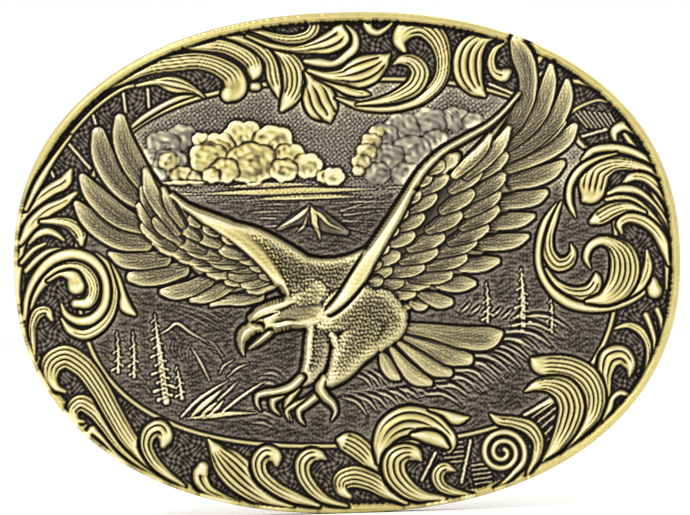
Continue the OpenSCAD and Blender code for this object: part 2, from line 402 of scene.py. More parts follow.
# The snow peak.
PEAK = [(-9.4, 4.9, 0.3), (-6.6, 6.3, 0.9), (-4.6, 6.6, 1.3), (-2.6, 5.4, 1.2), (0, 4.2, 0.5)]
SNOW = [
    [(-4.9, 8.2, 0.1), (-5.8, 7.2, 0.3), (-7.2, 6.2, 0.3), (-9.2, 5.2, 0.1)],
    [(-4.8, 8.1, 0.1), (-4.4, 6.9, 0.42), (-4.3, 5.4, 0.4), (-3.8, 4.2, 0.22), (-3.6, 3.2, 0.1)],
    [(-4.6, 7.6, 0.1), (-3.3, 6.5, 0.3), (-2.4, 5.5, 0.2), (-0.6, 4.6, 0.1)],
    [(-5.4, 6.4, 0.1), (-5.9, 5.2, 0.22), (-6.8, 4.4, 0.1)],
]
skin(face, PEAK, 0.3, 0.75, 0, grain=0.05, polish_and_painted_light=0.55, warm=0.25, power=0.6)
for path in SNOW:
    line(face, path, 0.2, 1.0, 0.75)


def pine(x, foot, tip, spread, lean=0.0):
    """A pine: a bright broken trunk, thicker below, with short drooping boughs now left, now right."""
    middle = (x + 0.4 * lean + 0.1, (foot + tip) / 2, 0.26 * spread)
    line(face, [(x + lean, foot, 0.3 * spread), middle, (x, tip, 0.06)], 0.3, 1.15, 0.5)
    boughs = max(6, int((tip - foot) / 0.62))
    for n in range(boughs):
        u = n / (boughs - 1)
        z = foot + 0.5 + (tip - foot - 1.0) * u
        root = x + lean * (1 - u) ** 1.5
        reach = spread * (1 - 0.72 * u) * (0.5 + 0.5 * math.sin(4 * n + 2 * x) ** 2)
        end = root + (reach if n % 2 else -reach)
        line(face, [(root, z + 0.2, 0.15), (end, z - 0.25, 0.12 + 0.1 * spread * (1 - u))],
             0.26, 1.15, 0.5)


# As x, foot, tip, spread and lean.
PINES = [
    (-32.3, -14.3, -8.6, 0.9), (-30.1, -15, -8.6, 0.9), (-27, -18.6, -6.2, 1.7, 1.3),
    (19.3, -8.8, -3.2, 0.9), (24.2, -9.8, -1.3, 1.4), (28.2, -10.5, -5.2, 0.8),
    (-24.1, -18.2, -13.6, 1.0, 0.6),
]
for spec in PINES:
    pine(*spec)

# Ploughed ground and grass: families of curved strokes, single ridges, and furrows with their shadows.


def between(count, start, end):
    """Pairs of points: one on the start line and one as far along the end line."""
    (ax, az), (bx, bz) = start
    (cx, cz), (dx, dz) = end
    for n in range(count):
        u = n / (count - 1)
        yield ax + (bx - ax) * u, az + (bz - az) * u, cx + (dx - cx) * u, cz + (dz - cz) * u


def family(count, start, end, bow, w, lift, polish_and_painted_light):
    """Curved strokes side by side, each bowed out at its middle."""
    for x0, z0, x1, z1 in between(count, start, end):
        mid = ((x0 + x1) / 2 + bow[0], (z0 + z1) / 2 + bow[1], w)
        line(face, [(x0, z0, 0.05), mid, (x1, z1, 0.05)], lift, polish_and_painted_light, 0.2)


family(4, ((-25.4, -5.4), (-22.4, -4.9)), ((-17.4, -9.8), (-15.8, -7.4)), (0.3, 0.3), 0.13, 0.13, 0.8)
family(4, ((-20.8, -9.8), (-19.2, -11.6)), ((-17.8, -12.6), (-17.2, -14)), (0.5, 0.4), 0.14, 0.16, 0.8)
family(5, ((-25.6, -9.6), (-20.8, -11.0)), ((-25, -12.4), (-21.6, -13.4)), (-0.4, 0.2), 0.13, 0.13, 0.7)
# As warmth and points.
RIDGES = [
    (0.4, [(-26.4, -9.2, .1), (-25.2, -8.6, .18), (-24.1, -7.8, .24), (-22, -9.1, .2), (-19.7, -10.5, .08)]),
    (0.4, [(-21.9, -11.2, .1), (-20.8, -13.2, .2), (-19.6, -15.8, .12)]),
    (0.4, [(-23.6, -20.7, .2), (-21.3, -18.5, .28), (-19.3, -17.2, .22), (-17, -15.9, .08)]),
    (0.4, [(-17.9, -20.2, .2), (-15.5, -18.4, .24), (-13.5, -17.1, .2), (-11.6, -16, .05)]),
    (0.3, [(-18.5, -18.6, .15), (-17, -17.3, .2), (-15.4, -15.8, .05)]),
    (0.3, [(-18.2, -15, .08), (-17.6, -13.9, .16), (-16.1, -13, .06)]),
    (0.3, [(-17.1, -15.4, .08), (-15.6, -14.2, .18), (-14, -13.6, .06)]),
    (0.9, [(-22.2, -20.7, .2), (-20.8, -19.4, .4), (-19.4, -18.3, .35), (-18, -17.2, .1)]),
    (0.9, [(-21.1, -20.9, .2), (-19.7, -19.7, .35), (-18.5, -18.8, .1)]),
    (0.8, [(-20, -20.7, .2), (-18.6, -19.6, .3), (-17.7, -18.6, .06)]),
    (0.8, [(-22.8, -21, .1), (-20, -20.8, .36), (-17.2, -20.5, .34), (-13.4, -20.5, .08)]),
]
for warm, path in RIDGES:
    line(face, path, 0.26, 1.15, warm)
# As count, both ends of the start line and of the end line, bow, half-width, share of the lift.
FURROWS = [
    (8, (-1.6, -18.6), (8.2, -17.6), (2.2, -21.4), (12.6, -18.6), (0.6, 0.5), 0.24, 1),
    (6, (0.6, -15.6), (5.6, -14.4), (3.0, -17.6), (8.8, -17.2), (0.4, 0.3), 0.22, 1),
    (11, (8.4, -19.0), (22.6, -8.4), (15.6, -20.6), (31.2, -10.6), (0.8, 1.1), 0.24, 1),
    (9, (10.6, -16.8), (22.4, -10.2), (16.6, -19.6), (28.6, -13.2), (0.5, 0.9), 0.22, 1),
    (6, (15.4, -7.6), (22.4, -9.0), (17.0, -6.2), (24.2, -7.4), (0.3, 0.2), 0.18, 1),
    (6, (-14.6, -21.8), (-13.0, -15.2), (-10.4, -23), (-9.2, -15.8), (0.3, 0.4), 0.18, 0.6),
]
# The second pass lays each furrow's shadow 0.5 above it: a sunk line in a dark painted-shadow tone.
for shift, lift, polish_and_painted_light in ((0.0, 0.24, 1.0), (0.5, -0.2, 0.1)):
    for count, *ends, bow, w, share in FURROWS:
        a, b, c, d = [(x, z + shift) for x, z in ends]
        family(count, (a, b), (c, d), bow, w, share * lift, polish_and_painted_light)
family(6, ((-33.4, -8.6), (-29.4, -16.2)), ((-31.4, -9.4), (-27.8, -17.6)), (0.2, 0.3), 0.14, 0.14, 0.6)
family(4, ((13.5, 20.4), (15.2, 21.8)), ((14.6, 19.2), (17.4, 20.8)), (0.2, 0.1), 0.12, 0.08, 0.5)

# ---- Scrollwork ---------------------------------------------------------------------------------
# A plain ring parts the scrollwork from the picture.
RING_HALF_W = 0.38
RING_RISE = 0.8
ring = RING_HALF_W - np.abs(in_picture)
beside_ring = np.minimum(face.height, DEEPEST - STEEPEST * ring)
face.height = np.where(ring > 0, DEEPEST + rise(ring, RING_RISE), beside_ring)
# Beside the ring its tone is darkened out to 0.4: a painted shadow.
face.polish_and_painted_light = np.where(ring > 0, 1.0, face.polish_and_painted_light * smooth(-ring, 0.05, 0.4))
face.warm = np.where(ring > 0, 0.7, face.warm)
RUNG_W = 0.2


def rungs(count, start, end, polish_and_painted_light):
    """Short bars laid side by side on the pocket floor."""
    for x0, z0, x1, z1 in between(count, start, end):
        line(face, [(x0, z0, RUNG_W), (x1, z1, RUNG_W)], 0.3, polish_and_painted_light, 0.3)


rungs(5, ((12.5, -25.6), (12.9, -28.2)), ((15.2, -25.4), (15.5, -28.0)), 0.9)
rungs(5, ((16.5, -28.7), (16.9, -31.3)), ((18.8, -28.5), (19.2, -31.0)), 0.9)
rungs(7, ((24.4, -21.6), (28.0, -26.2)), ((28.2, -19.4), (31.4, -22.6)), 0.9)
rungs(8, ((32.2, 20.2), (37.2, 19.6)), ((34.0, 17.9), (38.4, 17.6)), 1.0)
# Single bars, as x and z of both ends.
BAR_W = 0.28
BARS = [
    (-30.4, 24.4, -30.2, 21.9), (-27, 24.9, -26.9, 22.5), (-34.8, 21.6, -34.4, 20.4),
    (-38.2, 17.6, -35.4, 14.2), (-40.9, 14, -40.3, 12.7), (20.6, 24.2, 24, 22.7),
    (33.3, 16.6, 36.7, 17.5), (32.3, 16.2, 33.4, 15.1), (11.5, -26.8, 9.5, -30.5),
    (16.4, -25.3, 15, -31), (24, -21.9, 28, -19.9), (26.4, 24.6, 29.6, 26.6),
]
for x0, z0, x1, z1 in BARS:
    line(face, [(x0, z0, BAR_W), (x1, z1, BAR_W)], 0.45, 1.1, 0.45)

# Leaves in the order they are laid: number of flutes, then points as x, z and half-width, stem first.
TOP_LEAVES = [
    (0, [(-29.8, 19.4, .2), (-28, 20.8, .4), (-26, 22, .42), (-24, 23, .42), (-22, 23.7, .38),
         (-20, 24.1, .2)]),
    (0, [(-42.4, 13.4, .2), (-40, 16.8, .26), (-38, 19, .28), (-36, 21.1, .28), (-34, 22.9, .28),
         (-32, 24.3, .28), (-30, 25.3, .25), (-28, 25.6, .2)]),
    (3, [(-28.5, 25.5, .2), (-25.5, 25.9, .5), (-23.3, 25.5, 1.1), (-21.3, 24.9, .7), (-19.9, 24.2, .3),
         (-19.1, 23.5, .15)]),
    (5, [(-35, 24.4, .3), (-31, 26.4, .8), (-27, 28, 1), (-23, 28.5, 1.1), (-19.5, 28.6, 1.1),
         (-16.8, 27.7, 1.2), (-15, 26.2, 1.4), (-14.8, 24.5, 1.4), (-15.8, 23.8, 1)]),
    (5, [(-22, 30.9, .5), (-19, 31, 1), (-16, 30.7, 1.1), (-13.8, 29.7, 1.2), (-12.3, 28.2, 1.1),
         (-12, 26.9, .9), (-12.2, 26.1, .4)]),
    (0, [(-12.2, 24.8, .6), (-11.8, 24.8, .6)]),
    (3, [(-15, 33.3, .2), (-12, 32.6, .5), (-9, 31.6, .6), (-6, 31.3, .7), (-4.2, 31.9, .8),
         (-3.6, 33.1, .8), (-4.6, 34, .6), (-6.6, 34.2, .3)]),
    (5, [(-15.5, 32.9, .3), (-12.5, 31.9, .4), (-9.8, 30.6, .5), (-7.9, 29, .9), (-6.6, 26.8, 1.5),
         (-6.6, 24.6, 1.4), (-7.5, 22.8, 1), (-8.4, 21.5, .4)]),
    (3, [(-17.5, 32.4, .3), (-14, 31.5, .6), (-11.3, 30.2, .8), (-9.8, 28.3, .8), (-9.4, 26, .95),
         (-9, 24.3, .6), (-8.8, 23.1, .15)]),
    (3, [(-13, 31.9, .25), (-9.5, 30.4, .4), (-6, 29.8, .5), (-3.6, 30.1, .9), (-1.6, 30.6, 1.4),
         (-.1, 31.5, 1.4), (.6, 33.3, .15)]),
    (0, [(-5, 28.1, .3), (-3.2, 27.9, .6), (-1, 27.7, .5), (.8, 28.7, .6), (2, 30, .6), (2, 31.5, .5),
         (.8, 33, .2)]),
    (4, [(-4.9, 26.6, .3), (-4.2, 25, .8), (-3.4, 23.5, 1.8), (-3, 22.3, 2.1), (-2.2, 20.9, 1.1),
         (-1.7, 19.4, .1)]),
    (2, [(-3.3, 25.7, .2), (-1, 24.8, .5), (1, 24, .8), (2.6, 23.5, .6), (4, 23.2, .1)]),
    (4, [(-4.5, 26.8, .3), (-2, 26, .6), (.5, 25.9, 1.1), (3, 26.5, 2), (5, 27.4, 1.3), (6.9, 28.8, .1)]),
    (5, [(-.8, 22.9, .2), (2, 21.8, .5), (5, 21.2, .5), (8.5, 21.5, .6), (11.6, 22.8, .8), (13.7, 25, .9),
         (14.2, 28, 1), (13.4, 30.8, 1.3), (11.3, 32.6, 1.5), (9.3, 32.2, 1.3), (8.2, 30.6, .9),
         (8.9, 29, .3)]),
    (4, [(2, 21.9, .2), (5, 22.2, .5), (8, 23, .9), (10.3, 24.5, 1.2), (10.9, 26.2, 1.2), (9.8, 27.7, .9),
         (8.4, 27.9, .6), (7.2, 27.3, .1)]),
    (0, [(9, 34.1, .2), (7.5, 33.3, .25), (6.3, 32.3, .35), (5.1, 31.8, .5), (4.2, 32.2, .6),
         (3.8, 33.2, .65), (4.5, 34.3, .5)]),
    (4, [(22.5, 31, .3), (19.8, 30.6, .9), (18, 28.8, 1.7), (17.6, 26.3, 1.9), (18.4, 24, 1.2),
         (19.8, 22.6, .3)]),
    (2, [(23, 30, .15), (21.5, 29, .4), (20.9, 27.3, .6), (21.3, 25.9, .7), (22.4, 25.4, .9),
         (23.2, 25.8, .5)]),
]
RIGHT_LEAVES = [
    (1, [(44.5, -5, .2), (44.7, 0, .5), (44.2, 5, .65), (43, 9.5, .65), (41.2, 13.6, .55),
         (38.6, 17.8, .3)]),
    (0, [(27.5, 27.2, .3), (28, 28, .5), (30, 27.8, .5), (32.5, 26.6, .5), (35, 25, .6), (37, 22.8, .5)]),
    (0, [(32.2, 24.3, .3), (34, 24.2, .6), (36, 23.2, .6), (38, 21.2, .4)]),
    (0, [(31.7, 19.9, .22), (33, 20.7, .22), (34.5, 21.3, .22), (35.8, 21.6, .22), (36.9, 21.3, .22)]),
    (0, [(44, 12.6, .4), (42.5, 15.3, .5), (40.9, 17.1, .6), (39.1, 17.9, .7), (37.8, 17.1, .6),
         (37.9, 15.7, .2)]),
    (1, [(44.6, 10.5, .4), (42.5, 12.9, .6), (40, 14.3, .7), (37, 14.9, .7), (34.6, 14.5, .6),
         (33.1, 13.3, .2)]),
    (5, [(45, 8.5, .5), (43, 11, .8), (40, 12.5, .8), (37, 12.5, 1.1), (35.2, 11.6, 1.7), (34.6, 10, 1.8),
         (34.3, 8.7, 1.4), (33.2, 7.7, .4)]),
    (1, [(38, 14.1, .2), (35.3, 13.4, .4), (32.9, 12, .6), (31.4, 9.8, .6), (31.2, 7.8, .6),
         (32, 5.3, .15)]),
    (2, [(45.8, 4, .4), (45, 7, .6), (43.6, 9.2, .7), (41.8, 10.6, .7), (40, 10.7, .6), (38.9, 10, .25)]),
    (0, [(45.6, 1.5, .3), (44.4, 5, .25), (42.6, 7.4, .3), (40.5, 8.9, .5), (38.6, 9.1, .6),
         (36.8, 8.5, .4)]),
    (2, [(45.2, .2, .4), (43.9, 3, .6), (41.9, 5.6, .8), (40, 7.2, .8), (38, 7.9, .5), (36.4, 7.7, .3)]),
    (4, [(41.5, 5.7, .5), (39.5, 6.6, .7), (37.3, 6.2, 1), (35.6, 5.3, 1), (34.3, 4.7, .5)]),
    (2, [(45, -1.5, .4), (44.3, 1.1, .8), (42.9, 3.4, .8), (41.1, 4.7, .8), (39.3, 5, .7), (38.1, 4.1, .5),
         (38.4, 3, .2)]),
    (3, [(30.1, 7.6, .15), (28.9, 5.2, .6), (28, 2.6, .8), (28.2, .3, .9), (29.4, -1.1, 1), (30.9, -.7, .8),
         (31.5, .5, .5), (31.2, 1.7, .15)]),
    (3, [(27.6, -1.8, .3), (29, -4, .7), (31.5, -5.2, .9), (33.8, -4.9, 1), (34.7, -3.2, .6),
         (34.6, -2.5, .2)]),
    (0, [(29.4, 7.4, .15), (27.6, 4.6, .5), (26.7, 1.5, .5), (26.7, -1.5, .5), (28, -4.3, .6),
         (30.6, -6.5, .7), (34, -7.4, .6), (37.5, -7.1, .5), (40, -6.2, .4), (41.4, -5.2, .4)]),
    (0, [(42.5, -4.1, .8), (42.8, -5.2, 1)]),
    (2, [(38.5, -6, .4), (40.8, -4.3, .7), (41.9, -2, .7), (41.9, .4, .2)]),
    (6, [(33.2, -6.4, .3), (36.2, -5.9, 1.1), (38, -4.2, 1.7), (38.7, -2, 1.9), (38.4, 0, 1.6),
         (37.2, 1.4, 1), (35.6, 2, .7), (34, 1.3, .6), (33.3, -.3, .5), (33.9, -1.9, .15)]),
    (2, [(39.2, -19.5, .4), (41, -17, .5), (41.8, -14.5, .6), (41.5, -12.2, .5), (40.3, -10.5, .6),
         (38.9, -9.9, .45), (37.1, -10.3, .15)]),
    (0, [(42.5, -14, .3), (42.6, -12.2, .35), (42.1, -10.2, .4), (41.5, -8.6, .45)]),
    (0, [(43.2, -13, .4), (43.8, -11, .45), (43.6, -9.3, .4), (43.1, -7.9, .4)]),
    (3, [(33.8, -24.6, .3), (35.2, -21.9, .5), (35.6, -19, .6), (35.5, -16.4, 1), (36.3, -14.3, 1.4),
         (37.8, -14, 1.3), (39, -15.4, .8), (38.9, -17, .2)]),
    (5, [(29.8, -27, .3), (31.8, -24.3, .8), (33.7, -21.8, 1.2), (34, -19.3, 1.4), (33, -17.1, 1.5),
         (30.8, -15.6, 1.4), (28.3, -15.1, 1.3), (26.3, -15, 1.1), (25.2, -14.1, .2)]),
    (5, [(25.8, -29.6, .3), (28.3, -26.4, .9), (30, -23.4, 1.5), (30.6, -20.8, 1.7), (29.8, -18.8, 1.6),
         (27.8, -17.8, 1.1), (25.8, -17.9, .7), (24.1, -18.7, .15)]),
    (0, [(35.2, -23, .4), (36, -21.3, .5), (36.5, -20, .4), (37.6, -19.3, .45), (38.5, -19.6, .4)]),
]
# The coil at the bottom right, a spiral that closes on its middle.
COIL_X, COIL_Z = 20.8, -27
COIL_START = -60           # degrees above +X
COIL_TURNS = 2.3
COIL_REACH = 3.3           # radius where it starts
COIL_CLOSE = 2.8           # how much of the radius it loses
COIL_STEPS = 23
COIL = []
for n in range(COIL_STEPS + 1):
    turn = math.radians(COIL_START + 360 * COIL_TURNS * n / COIL_STEPS)
    reach = COIL_REACH - COIL_CLOSE * n / COIL_STEPS
    COIL.append((COIL_X + reach * math.cos(turn), COIL_Z + reach * math.sin(turn), 0.46 - 0.004 * n))
BOTTOM_LEAVES = [
    (2, [(-16, -32.6, .2), (-18.5, -31.9, .5), (-20.6, -30.7, .9), (-21.3, -29.2, 1.1),
         (-20.9, -27.9, .8)]),
    (6, [(-8.5, -33.6, .3), (-11.8, -32.3, 1.2), (-14.6, -30.3, 1.9), (-16.9, -28, 2), (-18.6, -26, 1.1),
         (-20, -24, .2)]),
    (3, [(-5, -33.6, .4), (-8.3, -32.4, .8), (-11.3, -30.7, .9), (-12.9, -28.9, 1), (-13, -27.1, 1.1),
         (-11.9, -26.1, 1.1), (-10.8, -26.6, .9), (-10.6, -27.7, .4)]),
    (3, [(-1, -33.8, .3), (-3.8, -32.9, .6), (-6, -31, .9), (-7, -29, 1), (-6.9, -27.5, 1.1),
         (-5.9, -26.6, 1), (-4.7, -26.6, .7), (-3.7, -27.2, .15)]),
    (5, [(3.2, -29, .3), (2.4, -27.6, 1), (1, -26, 1.4), (-.5, -25, 1.3), (-1.8, -24.6, .5)]),
    (5, [(7.2, -33.6, .4), (4.6, -31.9, 1), (2, -30.3, 1.3), (-.2, -29.8, 1.4), (-1.6, -30.4, 1.2),
         (-1.6, -31.6, .8), (-.6, -32.5, .4)]),
    (4, [(3.6, -27.8, .4), (3.9, -25.5, 1), (5.2, -23.3, 1.6), (7.5, -22.2, 1.9), (10, -22.6, 1.9),
         (12, -23.9, 1.6), (13.3, -25.3, 1.1), (13.4, -26.8, .2)]),
    (0, [(8.4, -24.2, .4), (10.3, -24.4, .9), (12, -25, .9), (13.2, -26, .4)]),
    (0, [(10.8, -20.7, .2), (12.8, -21.3, .45), (14.6, -22.2, .8), (16.4, -22, .15)]),
    (4, [(12.5, -33.2, .4), (9.2, -32.7, .9), (6.9, -31.2, 1.3), (5.7, -29.3, 1.5), (5.8, -27.5, 1.5),
         (7.2, -26.6, 1.2), (8.6, -26.8, .9), (9.5, -27.8, .2)]),
    (3, [(16.5, -32.7, .25), (13.8, -32.3, .6), (12, -31.2, .8), (11.7, -29.8, .9), (12.5, -28.9, .8),
         (14.1, -29.3, .2)]),
    (3, [(24.2, -30.2, .3), (25.5, -27.8, .6), (25.8, -25.6, .8), (24.8, -23.9, 1), (22.5, -22.9, .8),
         (20.2, -22.4, .6), (19.2, -21.6, .15)]),
    (0, [(19.6, -31.8, .2), (21.2, -31, .35)] + COIL),
]
LEFT_LEAVES = [
    (0, [(-45.9, -5, .3), (-45.9, -1, .45), (-45.4, 3, .4), (-44.4, 7, .4), (-43, 10.4, .35),
         (-41.4, 13.6, .2)]),
    (0, [(-43.6, -15, .3), (-44.7, -11.5, .4), (-45.5, -8, .4), (-45.9, -5, .3)]),
    (2, [(-45.8, 6.2, .3), (-43.6, 9.4, .7), (-41, 11.4, .9), (-39, 12.5, .9), (-38.1, 14, .3)]),
    (2, [(-45.6, 4, .4), (-43.6, 6.9, .9), (-41.5, 8.6, .9), (-39.3, 9.6, .7), (-37.5, 10.8, .3)]),
    (0, [(-44.6, 8.8, .4), (-42.6, 12.6, .6), (-40, 16.3, .35), (-38, 18.8, .22)]),
    (4, [(-42.5, 7, .3), (-40, 6.9, .6), (-38.3, 6.4, .8), (-37.2, 5.3, .9), (-36.9, 3.7, .4)]),
    (0, [(-44.3, 4, .2), (-43, 5.2, .5), (-41.6, 5.6, .55), (-40.2, 5, .4), (-39.4, 4.3, .2)]),
    (0, [(-45.5, 1.3, .35), (-43.5, 3.2, .35), (-42, 3.9, .2)]),
    (0, [(-44.8, .2, .4), (-43, 1.9, .45), (-41.5, 2.8, .4), (-39.9, 3.1, .2)]),
    (2, [(-35, 2.4, .15), (-33.5, 1, .35), (-32.5, -1.5, .45), (-32.4, -4, .5), (-33.3, -6.6, .6),
         (-35, -8.3, .75), (-37, -9, .75), (-38.8, -8.3, .6), (-40, -6.7, .2)]),
    (5, [(-44.9, -6, .4), (-43.6, -3, .6), (-41.9, -.9, .8), (-39.5, .3, .9), (-37.2, .1, 1),
         (-35.8, -1.3, .95), (-35.5, -3, .9), (-36.3, -4.5, .8), (-38, -4.6, .6)]),
    (0, [(-45.3, -6.5, .4), (-44.6, -3, .55), (-43, -.2, .65), (-40.8, 1.7, .75), (-38, 2.3, .75),
         (-35.5, 1.4, .7), (-33.9, -.8, .6), (-33.6, -3, .6), (-34.2, -5.3, .65), (-36, -6.9, .7),
         (-38, -6.9, .6), (-39.4, -6, .45), (-40, -4.6, .15)]),
    (0, [(-41.8, -1.3, .25), (-39.8, -.4, .4), (-38.2, -.9, .95), (-37.8, -2.1, 1.15)]),
    (0, [(-32.8, .9, .15), (-31.9, -1.2, .35), (-31.3, -3.4, .45), (-30.9, -5.3, .8), (-29.8, -6.3, .35)]),
    (3, [(-43.9, -12.2, .25), (-44.2, -9.5, .5), (-44.1, -7.2, .6), (-43.2, -5.7, .8), (-42.2, -5.5, .7),
         (-41.4, -6.7, .3)]),
    (0, [(-29.5, -28.6, .3), (-32.3, -26.8, .5), (-33.9, -25.3, .6), (-35.1, -24.6, .5)]),
    (0, [(-28.5, -28.4, .3), (-31, -26.9, .5), (-33.3, -24.8, .6), (-34.8, -23.2, .7), (-36.2, -22.4, .7),
         (-37, -22.9, .5)]),
    (4, [(-26.5, -29.2, .3), (-29.5, -27, .7), (-32.3, -24.3, .9), (-34.3, -21.5, 1), (-36, -19.4, 1.1),
         (-37.8, -18.5, 1.1), (-38.9, -19.5, .9), (-38.4, -20.9, .6), (-37.4, -21.1, .3)]),
    (5, [(-24.5, -29.9, .3), (-28, -27.2, .7), (-31, -23.8, 1.1), (-33.2, -20, 1.2), (-35.2, -16.2, 1.3),
         (-37.5, -13.2, 1.4), (-39.8, -12, 1.5), (-41.6, -13, 1.4), (-41.9, -14.8, 1), (-41, -16.3, .6),
         (-39.9, -16.8, .3)]),
    (3, [(-23.5, -30.4, .3), (-26, -28.6, .6), (-28, -26.4, .8), (-28.7, -24.4, .9), (-28, -22.7, 1.1),
         (-26.7, -22.3, 1.2), (-26, -23.4, 1), (-26.3, -24.6, .5)]),
]
for flutes, points in TOP_LEAVES + RIGHT_LEAVES:
    leaf(flutes, points)

# The plain edge stands over the ends of those leaves and under the ones at the left and the bottom.
rim_arch = 1 - np.clip(np.abs(from_outline / RIM_W * 2 - 1), 0, 1) ** 2.6
rim_height = RIM_FOOT + (RIM_TOP - RIM_FOOT) * rim_arch
inner_gutter = (from_outline > RIM_W) & (from_outline < RIM_W + 0.3)
in_rim = (from_outline <= RIM_W) & (from_outline > 0)
face.height = np.where(inner_gutter, np.minimum(face.height, 0.5), face.height)
face.height = np.where(in_rim, np.maximum(rim_height, face.height - 0.1), face.height)
face.polish_and_painted_light = np.where(in_rim, RIM_SHINE, face.polish_and_painted_light)
face.warm = np.where(in_rim, 0.85, face.warm)
for flutes, points in BOTTOM_LEAVES + LEFT_LEAVES:
    leaf(flutes, points)
outermost = (1 - smooth(from_outline, 0.4, 0.7)) * (from_outline > 0)
face.height = np.maximum(face.height, rim_height * outermost)
face.polish_and_painted_light = np.maximum(face.polish_and_painted_light, RIM_SHINE * outermost)
face.height = np.where(from_outline <= 0, POCKET, face.height)

# ---- Eagle --------------------------------------------------------------------------------------
WING_LEFT, WING_RIGHT, BODY, TAIL, LEGS = range(2, 7)


def covert(tip, heading, length, width, base, top, owner, side):
    """A short wing feather that ends at tip and points along heading, in degrees above +X."""
    a = math.radians(heading)
    back = (-math.cos(a), -math.sin(a))
    points = [(tip[0] + back[0] * f * length, tip[1] + back[1] * f * length, w * width)
              for f, w in ((1.0, 0.7), (0.6, 1.0), (0.3, 1.0), (0.12, 0.72))]
    feather(points, base, top, owner, side)


def wing(owner, side, primaries, rows, heading, shoulder, shoulder_top):
    """One wing's feathers from below up: long ones, rows of coverts, and a few on the shoulder."""
    for points in primaries:
        feather(points, base=0.25, top=1.0, owner=owner, side=side)
    for base, top, length, width, tips in rows:
        for tip in tips:
            covert(tip, heading(tip[1]), length, width, base, top, owner, side)
    for points in shoulder:
        feather(points, base=0.7, top=shoulder_top, owner=owner, side=side)


def left_heading(z):
    """Which way a covert at height z points on the left wing."""
    return 195 - 5.6 * max(z + 3, 0)


def right_heading(z):
    """The same for the right wing."""
    return float(np.interp(z, (-6, 0, 8, 15, 20), (-12, 12, 28, 36, 50)))


# The arm of each wing, filled in under its small feathers.
LEFT_ARM = [(-25.5, 8.5, 1.5), (-22.5, 6, 3), (-19, 2.8, 4), (-15.5, 0, 3.8), (-12.5, -1.8, 2.4)]
RIGHT_ARM = [(24, 19, 1.5), (21.8, 14.5, 3), (18.5, 9, 4.8), (14.5, 4, 5.5), (10.5, 0, 4.6), (7, -2.8, 3)]
skin(bird, LEFT_ARM, 0.3, 0.75, WING_LEFT, polish_and_painted_light=0.6)
skin(bird, RIGHT_ARM, 0.3, 0.75, WING_RIGHT, polish_and_painted_light=0.6)

LEFT_PRIMARIES = [
    [(-12.5, -4.2, .9), (-14.8, -4.6, .9), (-17, -4.8, .6), (-19, -5.3, .3)],
    [(-16, -2.2, .9), (-18, -3.3, 1), (-20, -4.1, .9), (-21.7, -4.5, .4)],
    [(-19.5, -1.9, .9), (-22, -3, 1), (-24.2, -3.4, .95), (-25.7, -3.3, .5)],
    [(-23, -.3, 1), (-26, -1, 1.2), (-28.5, -1.2, 1.1), (-30, -1.1, .7)],
    [(-25.5, 1.3, 1), (-28.5, 1.1, 1.1), (-31.2, 1.3, .9), (-32.9, 2.2, .35)],
    [(-28, 3.5, 1), (-31, 3.9, 1.2), (-33.7, 5.4, 1.3), (-36, 7.5, 1.1), (-37.4, 9.3, .45)],
    [(-28, 5.8, 1), (-30.7, 6.9, 1.3), (-33.3, 8.9, 1.4), (-35.4, 11.2, 1.1), (-36.5, 13, .5)],
    [(-27.5, 8.8, 1), (-30, 10.7, 1.4), (-32.2, 13.2, 1.5), (-33.7, 16.5, 1.35), (-34.1, 19, .85)],
    [(-25.5, 9.5, 1), (-27.8, 12.2, 1.3), (-29.6, 15.2, 1.45), (-30.8, 18.5, 1.2), (-31, 20.9, .7)],
]
# Rows of coverts, as base, top, length, half-width and the place of each tip.
LEFT_ROWS = [
    (0.5, 1.15, 5.2, 1.05, ((-14, -3.3), (-17, -2), (-19.5, -.7), (-21.4, .7), (-24.1, 2.1), (-26.8, 3.9),
                            (-28.3, 6.2), (-28.7, 9), (-28, 11.5))),
    (0.6, 1.28, 4.6, 1.0, ((-14.7, -2.5), (-16.4, -1.3), (-16.6, .1), (-19, .9), (-20.3, 2), (-22.4, 3),
                           (-24.1, 4.6), (-26.6, 6.9))),
    (0.7, 1.4, 3.8, 0.9, ((-12.1, -1.4), (-13.4, 0), (-15.1, 1.3), (-17.6, 2.5), (-21.2, 5), (-23.6, 6.6))),
    (0.8, 1.5, 2.0, 0.75, ((-11.2, .2), (-12.8, 1.7), (-14.6, 3), (-17, 4.2), (-19.6, 5.7), (-22, 7.3),
                           (-23.6, 9))),
]
LEFT_SHOULDER = [
    [(-23.4, 5, .6), (-25.4, 8, .85), (-27, 11, .9), (-27.6, 13.6, .4)],
    [(-22.6, 6, .6), (-24.2, 8.6, .8), (-25.2, 11, .35)],
]
wing(WING_LEFT, -1, LEFT_PRIMARIES, LEFT_ROWS, left_heading, LEFT_SHOULDER, shoulder_top=1.45)

